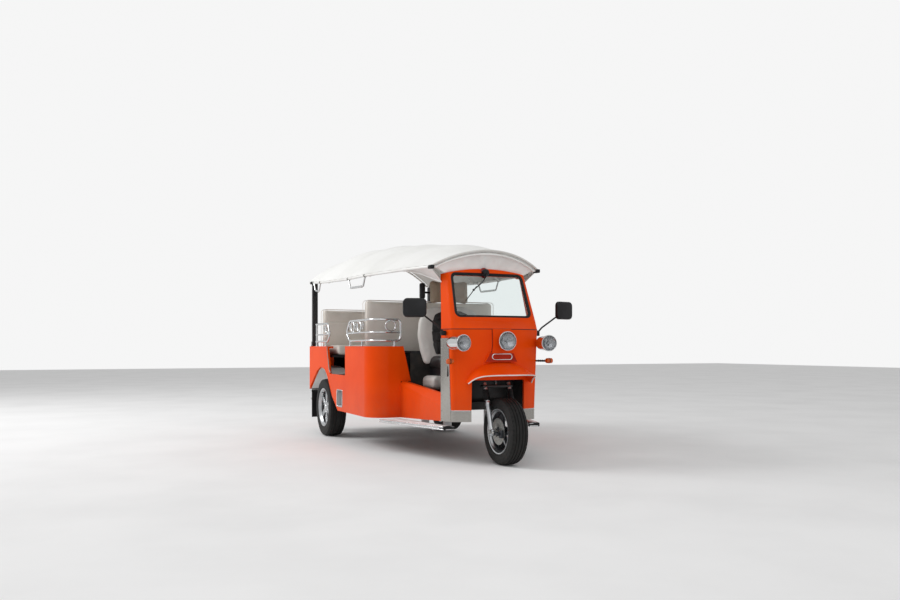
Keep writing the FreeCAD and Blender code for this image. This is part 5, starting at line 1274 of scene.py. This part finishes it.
gusset_shape = skin(gusset, 36, 8, 3.0)
gusset_edge = run([at(*gusset(step / 30, 0.0)) for step in range(31)], 6.0)
piece("roof_gussets", [(both_sides(joined(gusset_shape, gusset_edge)), paint_white)], crease=50)
clamps = []
for y in (352, 3226):
    spot = tube_centre(min(y, 3300))
    clamps.append(block((spot.x - 17, spot.x + 17), (y - 32, y + 32), (spot.z - 18, spot.z + 12), 5))
    clamps += [peg((spot.x + 17, y + step, spot.z - 3), (1, 0, 0), 6, 5) for step in (-14, 14)]
piece("tube_clamps", [(both_sides(joined(*clamps)), abs_black)])

# %% [markdown]
# Cushions are sewn covers that foam pushes out. Each starts a little too small, is meshed evenly, and
# is blown up like cloth under pressure. How far it may swell is capped, it is flat where it rests, and
# a thin cord is sewn along the edges that people see.

# %% Padding
SCENE = bpy.context.scene
PRESSURE = 4.0
FRAMES = 20


def as_object(mesh):
    """A scratch object that holds a mesh."""
    holder = bpy.data.objects.new("scratch", mesh)
    SCENE.collection.objects.link(holder)
    return holder


def settled(holder):
    """What a scratch object's modifiers make of its mesh."""
    bpy.context.view_layer.update()
    graph = bpy.context.evaluated_depsgraph_get()
    return bpy.data.meshes.new_from_object(holder.evaluated_get(graph), depsgraph=graph)


def stuffed(shape, voxel, cap, low=None, high=None):
    """A closed shape blown up like a cushion by up to cap mm, and kept within two corners in mm."""
    mesh = bpy.data.meshes.new("pad")
    shape.to_mesh(mesh)
    shape.free()
    holder = as_object(mesh)
    remesh = holder.modifiers.new("even", "REMESH")
    remesh.mode = "VOXEL"
    remesh.voxel_size = voxel * MM
    even = settled(holder)
    holder.modifiers.clear()
    holder.data = even
    before = [vert.co.copy() for vert in even.vertices]
    after = before
    cloth = holder.modifiers.new("cover", "CLOTH")
    cloth.settings.quality = 4
    cloth.settings.use_pressure = True
    cloth.settings.uniform_pressure_force = PRESSURE
    cloth.settings.effector_weights.gravity = 0.0
    cloth.collision_settings.use_collision = False
    cloth.point_cache.frame_start = 1
    cloth.point_cache.frame_end = FRAMES
    for step in range(1, FRAMES + 1):
        SCENE.frame_set(step)
    blown = settled(holder)
    after = [vert.co.copy() for vert in blown.vertices]
    bpy.data.meshes.remove(blown)
    holder.modifiers.clear()
    SCENE.frame_set(1)
    floor = at(*low) if low else None
    ceiling = at(*high) if high else None
    for vert, start, end in zip(even.vertices, before, after):
        move = end - start
        if move.length > cap * MM:
            move = move.normalized() * cap * MM
        place = start + move
        if low:
            place = Vector(map(max, place, floor))
        if high:
            place = Vector(map(min, place, ceiling))
        vert.co = place
    smoother = holder.modifiers.new("fine", "SUBSURF")
    smoother.levels = smoother.render_levels = 1
    fine = settled(holder)
    result = bmesh.new()
    result.from_mesh(fine)
    bpy.data.objects.remove(holder)
    bpy.data.meshes.remove(fine)
    return result


def channel(shape, axis, place, facing, depth=6.0, width=7.0):
    """Press a sewn channel into the face of a cushion that faces a way, across one axis at a place in mm."""
    spot = at(place, place, place)[axis]
    side = Vector(facing)
    for vert in shape.verts:
        share = math.exp(-((vert.co[axis] - spot) / (width * MM)) ** 2) * max(0.0, vert.normal.dot(side))
        vert.co -= side * depth * MM * share
    return shape


PIPE_CORNER, PIPE_R = 32.0, 2.6


def piping(centre, reach, up):
    """A cord's round edge sewn round one face of a backrest."""
    return run(oval(centre, reach, up, FORWARD, PIPE_CORNER / (2 * min(reach, up)), 6), PIPE_R, 2,
               closed=True)


def flat_piping(xs, ys, z):
    """A cord's round edge sewn round the top of a seat."""
    reach, deep = (xs[1] - xs[0]) / 2, (ys[1] - ys[0]) / 2
    middle = at(sum(xs) / 2, sum(ys) / 2, z)
    loop = oval((0, 0, 0), reach, deep, FORWARD, PIPE_CORNER / (2 * min(reach, deep)), 6)
    return run([Vector((middle.x + p.x, middle.y + p.z, middle.z)) for p in loop], PIPE_R, 2, closed=True)


# %% [markdown]
# Two benches face each other. Each has a seat 105 mm thick and a high straight backrest, all in
# the same grey beige, with sewn channels on the sides that people lean on.

# %% Benches
SEWN_IN = 7


def bench(name, xs, ys, zs, stands_for, channels=(), extra=()):
    """One long cushion of a bench."""
    core = block(*((low + SEWN_IN, high - SEWN_IN) for low, high in (xs, ys, zs)), 24, 3)
    pad = stuffed(core, 14.0, 11.0, (xs[0], ys[0], zs[0]), (xs[1], ys[1], zs[1]))
    for axis, place, facing in channels:
        channel(pad, axis, place, facing)
    cushion = piece(name, [(joined(pad, *extra), vinyl_beige)], stands_for=(stands_for,),
                    crease=50)
    return cushion


bench("bench_seat_front", (-658, 658), (1596, 1885), (830.5, 935), "mid_cushion",
      [(0, x, (0, 0, 1)) for x in (-219, 219)], [flat_piping((-652, 652), (1602, 1879), 927)])
bench("bench_back_front", (-658, 658), (1500.5, 1595), (830.5, 1351), "mid_back",
      [(0, x, (0, 1, 0)) for x in (-219, 219)],
      [piping((0, 1508, 1091), 651, 253), piping((0, 1588, 1091), 651, 253)])
bench("bench_seat_rear", (-658, 658), (2430, 2899), (830.5, 935), "rear_cushion",
      [(0, x, (0, 0, 1)) for x in (-219, 219)], [flat_piping((-652, 652), (2437, 2892), 927)])
bench("bench_back_rear", (-678, 678), (2900, 2995), (830.5, 1322), "rear_back",
      [(0, x, (0, -1, 0)) for x in (-226, 226)] + [(2, 1180, (0, -1, 0))],
      [piping((0, 2908, 1077), 671, 239), piping((0, 2987, 1077), 671, 239)])

# %% [markdown]
# The driver sits in a bucket: a pale padded shell whose wings bulge at rib height, with a dark pad in
# its middle, a head cushion above it, and a pale skirt round the pedestal. A guide for the belt is fixed
# beside the head cushion.

# %% Driver's seat
SEAT_Z, BACK_Y, LEAN = 830.0, 1004.0, -5.0
WING = [(262, -70), (304, 60), (322, 200), (306, 330), (256, 420), (150, 462)]
DARK = [(180, 10), (204, 90), (214, 210), (204, 320), (168, 390), (90, 420)]


def leaning(shape):
    """A shape turned back with the driver's backrest."""
    return swung(shape, (0, BACK_Y, SEAT_Z), LEAN, (1, 0, 0))


def back_plate(half_outline, ys, radius):
    """A rounded slab with a symmetric outline of (half width, height over the seat)."""
    outline = half_outline + [(-x, z) for x, z in reversed(half_outline)]
    return plate([at(x, BACK_Y + ys[0], SEAT_Z + z) for x, z in outline], (0, ys[1] - ys[0], 0), radius, 4)


seat_pad = stuffed(block((-228, 228), (777, 1091), (741, 824), 26, 3), 9.0, 12.0, (-235, 770, 735.5),
                   (235, 1098, 840))
for x in (-120, 120):
    channel(seat_pad, 0, x, (0, 0, 1), 7.0)
seat = piece("driver_seat_pad", [(seat_pad, vinyl_dark)], stands_for=("driver_cushion",),
             crease=50)
wings = leaning(stuffed(back_plate(WING, (10, 88), 26), 9.0, 14.0))
back = piece("driver_seat_shell", [(wings, vinyl_pale)], stands_for=("driver_backrest",),
             crease=50)
dark_pad = stuffed(back_plate(DARK, (-12, 40), 18), 9.0, 12.0)
for z in (960, 1060, 1160):
    channel(dark_pad, 2, z, (0, -1, 0), 6.0)
dark = piece("driver_seat_liner", [(leaning(dark_pad), vinyl_dark)], crease=50)
head_pad = stuffed(block((-190, 190), (BACK_Y + 12, BACK_Y + 80), (SEAT_Z + 478, SEAT_Z + 686), 32, 4),
                   8.0, 14.0)
stems = [bent([(x, BACK_Y + 46, SEAT_Z + 470), (x, BACK_Y + 46, SEAT_Z + 530)], 7) for x in (-60, 60)]
head = piece("driver_head_pad", [(leaning(head_pad), vinyl_tan)], crease=50)
guide = joined(block((-272, -226), (1092, 1140), (1346, 1484), 14, 3),
               bent([(-236, 1112, 1400), (-150, 1104, 1400)], 9))
piece("belt_guide", [(guide, abs_black), (leaning(joined(*stems)), chrome)])
skirt = stuffed(block((-280, 280), (806, 1084), (560, 654), 26, 3), 10.0, 12.0)
valance = piece("driver_seat_skirt", [(skirt, vinyl_pale)], crease=50)
print("padding done")

# %% [markdown]
# The side rails are chrome tube. Beside the front bench three bars run round the corner and meet in a
# bow at the rear, with rings and scrolls between the upper two and a flange under each foot.

# %% Side rails
RAIL_X, RAIL_FRONT, RAIL_END_X = 713.0, 1122.0, 452.0
RAIL_LOW, RAIL_MID, RAIL_TOP = 972.0, 1045.0, 1157.0
RING_Z = (RAIL_MID + RAIL_TOP) / 2


def ring(centre, flat, radius=47.0, thick=6.5):
    """A round ring of rod; flat is the way it faces."""
    return turned([(radius + thick * math.cos(a), thick * math.sin(a))
                   for a in (math.tau * step / 10 for step in range(11))], centre, flat, 40)


def scroll(centre, across, hand=1, size=40.0, turns=1.4):
    """A flat spiral of rod that stands upright along a direction."""
    places = []
    for step in range(41):
        share = step / 40
        angle = math.tau * turns * share
        reach = size * (1 - 0.72 * share)
        sideways = Vector(across) * (hand * reach * math.cos(angle))
        spot = Vector(centre) + sideways + Vector((0, 0, reach * math.sin(angle)))
        places.append(at(*spot))
    return run(places, 4.6, 3)


def foot(x, y, top):
    """A short post with a flange on the panel's ledge."""
    flange = turned([(0, 8), (9, 8), (14, 5), (20, 4), (22, 2), (22, 0), (0, 0)], (x, y, 922), (0, 0, 1), 28)
    return joined(bent([(x, y, 922), (x, y, top)], 8.5), flange)


outer = bent([(RAIL_X, RAIL_FRONT, RAIL_LOW), (RAIL_END_X, RAIL_FRONT, RAIL_LOW),
              (RAIL_END_X, RAIL_FRONT, RAIL_TOP),
              (RAIL_X, RAIL_FRONT, RAIL_TOP), (RAIL_X, 1794, RAIL_TOP), (RAIL_X, 1900, RAIL_MID),
              (RAIL_X, 1794, RAIL_LOW)],
             10, [150.0, 40.0, 40.0, 150.0, 60.0, 40.0, 60.0], closed=True)
middle = bent([(RAIL_END_X, RAIL_FRONT, RAIL_MID), (RAIL_X, RAIL_FRONT, RAIL_MID), (RAIL_X, 1878, RAIL_MID)],
              8, 150.0)
rails = [outer, middle, foot(RAIL_X, 1784, RAIL_LOW), foot(RAIL_X, 1420, RAIL_LOW),
         foot(510, RAIL_FRONT, RAIL_LOW),
         ring((RAIL_END_X + 92, RAIL_FRONT, RING_Z), (0, 1, 0)), ring((RAIL_X, 1500, RING_Z), (1, 0, 0)),
         ring((RAIL_X, 1700, RING_Z), (1, 0, 0)), scroll((RAIL_X, 1602, RING_Z), (0, 1, 0)),
         scroll((RAIL_X, 1400, RING_Z), (0, 1, 0), -1), scroll((RAIL_X, 1786, RING_Z), (0, 1, 0), 1, 34)]
tail_loop = bent([(RAIL_X, 3030, RAIL_TOP), (RAIL_X, 2560, RAIL_TOP), (RAIL_X, 2488, RAIL_MID),
                  (RAIL_X, 2560, RAIL_LOW),
                  (RAIL_X, 3030, RAIL_LOW)], 10, [0.0, 60.0, 40.0, 60.0, 0.0])
rails += [tail_loop, bent([(RAIL_X, 2508, RAIL_MID), (RAIL_X, 3030, RAIL_MID)], 8),
          foot(RAIL_X, 3014, RAIL_TOP),
          foot(RAIL_X, 2660, RAIL_LOW), ring((RAIL_X, 2590, RING_Z), (1, 0, 0)),
          scroll((RAIL_X, 2690, RING_Z), (0, 1, 0))]
piece("bench_rails", [(both_sides(joined(*rails)), chrome)], stands_for=("armrest_rails",))

# %% [markdown]
# A tricycle steers with a handlebar. Its bar is swept back to two ribbed twist grips, and a round
# instrument sits in a pod on the clamp. The pedals for the brakes stand on the toe board.

# %% Handlebar and pedals
BAR_HEAD = on_axis(1020)
BAR_Y = BAR_HEAD[1]
sweep = bent([(-286, BAR_Y + 178, 1054), (-166, BAR_Y + 60, 1054), (-60, BAR_Y + 4, 1034),
              (60, BAR_Y + 4, 1034),
              (166, BAR_Y + 60, 1054), (286, BAR_Y + 178, 1054)], 12.5, 34)
clamp = turned([(0, -28), (22, -28), (26, -24), (26, 24), (22, 28), (0, 28)], BAR_HEAD, UP_LEG, 40)
POD, TO_DRIVER = (0, BAR_Y + 6, 1046), (0, 0.5, 0.866)
pod = turned([(0, -2), (34, 0), (44, 8), (46, 20), (46, 38), (41, 42), (39, 40), (0, 40)], POD, TO_DRIVER, 48)
dial = turned([(0, 41.2), (38.6, 41.2), (38.6, 40), (0, 40)], POD, TO_DRIVER, 48)
switches, grips = [], []
for side in (-1, 1):
    along = Vector((side * 0.714, 0.702, 0)).normalized()
    start = Vector((side * 206, BAR_Y + 60 + 40 * 0.983, 1054))
    ribs = [(13.2, 0), (19, 0), (19, 3), (16.4, 5)]
    for index in range(11):
        ribs += [(16.4, 7 + 8 * index), (17.4, 9 + 8 * index), (17.4, 12 + 8 * index), (16.4, 14 + 8 * index)]
    ribs += [(16.4, 98), (18, 101), (17, 106), (0, 107), (0, 104), (13.2, 104), (13.2, 0)]
    grips.append(turned(ribs, start, along, 36))
    switches.append(turned([(13, -16), (20, -14), (22, -8), (22, 8), (20, 14), (13, 16), (13, -16)],
                           start - along * 22, along, 32))
piece("steering_bar", [(joined(sweep, clamp), paint_black), (joined(pod, *switches), abs_black),
                       (dial, dial_grey)],
      "steering", ("handlebar",))
piece("twist_grips", [(joined(*grips), seal_rubber)], "steering", ("handlebar_grips",))
arms, pads = [], []
for x in (-150, 130):
    arms.append(bent([(x, 404, 520), (x, 470, 560), (x, 492, 552)], 7, 20))
    pads.append(swung(block((x - 38, x + 38), (486, 498), (512, 584), 4), (x, 492, 548), -22, (1, 0, 0)))
piece("foot_pedals", [(joined(*arms), paint_black), (joined(*pads), seal_rubber)])

# %% [markdown]
# Rubber mats with ribs lie in the cab and between the benches. Ribs 24 mm apart catch the light and give
# the floors their scale.

# %% Floor mats
RIB_PITCH, RIB_WIDTH = 24, 9
for name, half, ys, first_rib, rib_ys, top in (("cab_mat", 296, (456, 800), -276, (462, 790), 480),
                                               ("entry_mat", 612, (1895, 2420), -594, (1905, 2410), 640)):
    ribs = [block((x, x + RIB_WIDTH), rib_ys, (top, top + 4), 0)
            for x in range(first_rib, half - 13, RIB_PITCH)]
    piece(name, [(joined(block((-half, half), ys, (top - 1, top + 1), 0), *ribs), mat_rubber)])

# %% [markdown]
# At the back stand two lamp clusters in black housings, with a red, an amber and a clear field. The
# mudflaps hang from a steel strip with bolts, and the roof posts stand on bolted plates.

# %% Tail
BACK = 3248.0
LAMP_BACK = BACK + 33
housing = block((540, 640), (BACK, BACK + 20), (640, 850), 7)
red, amber, clear = (block((546, 634), (BACK + 12, LAMP_BACK), zs, 6)
                     for zs in ((778, 844), (712, 774), (646, 708)))
screws = [turned([(0, 2.4), (3.4, 2), (4, 0), (0, 0)], (590, LAMP_BACK, z), (0, 1, 0), 12)
          for z in (776, 710)]
piece("tail_clusters", [(both_sides(housing), abs_black), (both_sides(red), acrylic_red),
                        (both_sides(amber), acrylic_amber), (both_sides(clear), glass_lamp),
                        (both_sides(joined(*screws)), zinc)], stands_for=("tail_lamps",))
strip = block((592, 719), (3183, 3188), (444, 468), 2)
nuts_row = [turned([(0, 5), (5, 5), (7, 4), (7, 0), (0, 0)], (x, 3183, 456), (0, -1, 0), 6)
            for x in (610, 655, 700)]
piece("mudflap_strips", [(both_sides(joined(strip, *nuts_row)), zinc)])
shoe = joined(block((646, 722), (3176, 3236), (922, 928), 2), block((650, 718), (3181, 3231), (928, 976), 3))
shoe_bolts = [turned([(0, 5), (5, 5), (6, 4), (6, 0), (0, 0)], (x, y, 928), (0, 0, 1), 6)
              for x in (652, 716) for y in (3182, 3230)]
piece("post_shoes", [(both_sides(shoe), paint_black), (both_sides(joined(*shoe_bolts)), zinc)])
caps = [turned([(0, 4), (12, 4), (17, 1), (17.4, -6), (0, -6)], (702, 3209, z), (0, -1, 0), 28)
        for z in (345, 432)]
piece("bumper_caps", [(both_sides(joined(*caps)), seal_rubber)])

# %% [markdown]
# Each grab handle is held by a saddle clamp at both ends, and the part that a hand holds wears a thicker
# chromed sleeve.

# %% Grab handles
HANDLE_DROP = 92
saddles, sleeves = [], []
for low_y, high_y in ((1440, 1920), (2900, 3160)):
    low, high = tube_centre(low_y), tube_centre(high_y)
    for spot in (low, high):
        saddles.append(turned([(12.5, -12), (16, -11), (16, 11), (12.5, 12), (12.5, -12)], spot,
                              (0, 1, 0), 28))
        saddles.append(peg((spot.x + 14, spot.y, spot.z), (1, 0, 0), 5, 4))
    sleeves.append(bent([low + Vector((0, HANDLE_DROP, -HANDLE_DROP)),
                         high - Vector((0, HANDLE_DROP, HANDLE_DROP))],
                        10.5))
piece("handle_fittings", [(both_sides(joined(*saddles)), zinc)])
piece("handle_sleeves", [(both_sides(joined(*sleeves)), chrome)])

# %% [markdown]
# The studio has a plain floor of matt pale paper, 60 m wide, so that its edge is the picture's horizon.

# %% Floor
bpy.context.view_layer.update()
floor_finish = start_finish("matt_studio_paper", "#EDEDED", 0.9)
tint(floor_finish, "#EEEEEE", "#E8E8E8", 900)
floor_shape = bmesh.new()
bmesh.ops.create_grid(floor_shape, x_segments=1, y_segments=1, size=30.0)
bmesh.ops.translate(floor_shape, vec=(0, 0, -0.001), verts=floor_shape.verts)
floor_mesh = bpy.data.meshes.new("studio_floor")
floor_shape.to_mesh(floor_mesh)
floor_mesh.materials.append(floor_finish)
studio_floor = bpy.data.objects.new("studio_floor", floor_mesh)
bpy.context.scene.collection.objects.link(studio_floor)
print("floor at", round(floor_mesh.vertices[0].co.z, 4))

# %% [markdown]
# The surround is white. The camera and the glass see it nearly at full strength, chrome sees it weaker, and
# the light that falls on the vehicle from it is weaker still, so colours keep their written value.

# %% Surround
world = bpy.data.worlds.new("studio")
bpy.context.scene.world = world
world.use_nodes = True
tree = world.node_tree
sky = tree.nodes["Background"]
rays = tree.nodes.new("ShaderNodeLightPath")
seen = tree.nodes.new("ShaderNodeMath")
seen.operation = "MULTIPLY_ADD"
tree.links.new(rays.outputs["Is Glossy Ray"], seen.inputs[0])
seen.inputs[1].default_value = 0.3
tree.links.new(rays.outputs["Is Camera Ray"], seen.inputs[2])
through = tree.nodes.new("ShaderNodeMath")
through.operation = "MAXIMUM"
tree.links.new(seen.outputs[0], through.inputs[0])
tree.links.new(rays.outputs["Is Transmission Ray"], through.inputs[1])
level = tree.nodes.new("ShaderNodeMapRange")
level.inputs["To Min"].default_value = 0.6
level.inputs["To Max"].default_value = 0.92
tree.links.new(through.outputs[0], level.inputs["Value"])
sky.inputs["Color"].default_value = (1, 1, 1, 1)
tree.links.new(level.outputs[0], sky.inputs["Strength"])
print("surround", world.name, [node.bl_idname for node in tree.nodes])

# %% [markdown]
# A large soft lamp stands high behind the vehicle's right, where the sun stood, and a wide weak one in
# front opens the shadows.

# %% Lamps
def soft_lamp(name, place, aim, size, power):
    """A square soft lamp that looks from one place at another."""
    data = bpy.data.lights.new(name, "AREA")
    data.shape = "SQUARE"
    data.size = size
    data.energy = power
    lamp = bpy.data.objects.new(name, data)
    lamp.location = place
    lamp.rotation_euler = (Vector(aim) - Vector(place)).to_track_quat("-Z", "Y").to_euler()
    bpy.context.scene.collection.objects.link(lamp)
    return lamp


soft_lamp("key", (-8.0, 3.84, 7.52), (0, 0, 0.8), 4.8, 560)
soft_lamp("fill", (-1.5, -6.5, 4.5), (0, 0, 0.9), 5.0, 60)

# %% [markdown]
# The scene is brought up to date once more at the end. The dressed vehicle must stay as large as the
# imported model.

# %% Update
bpy.context.view_layer.update()
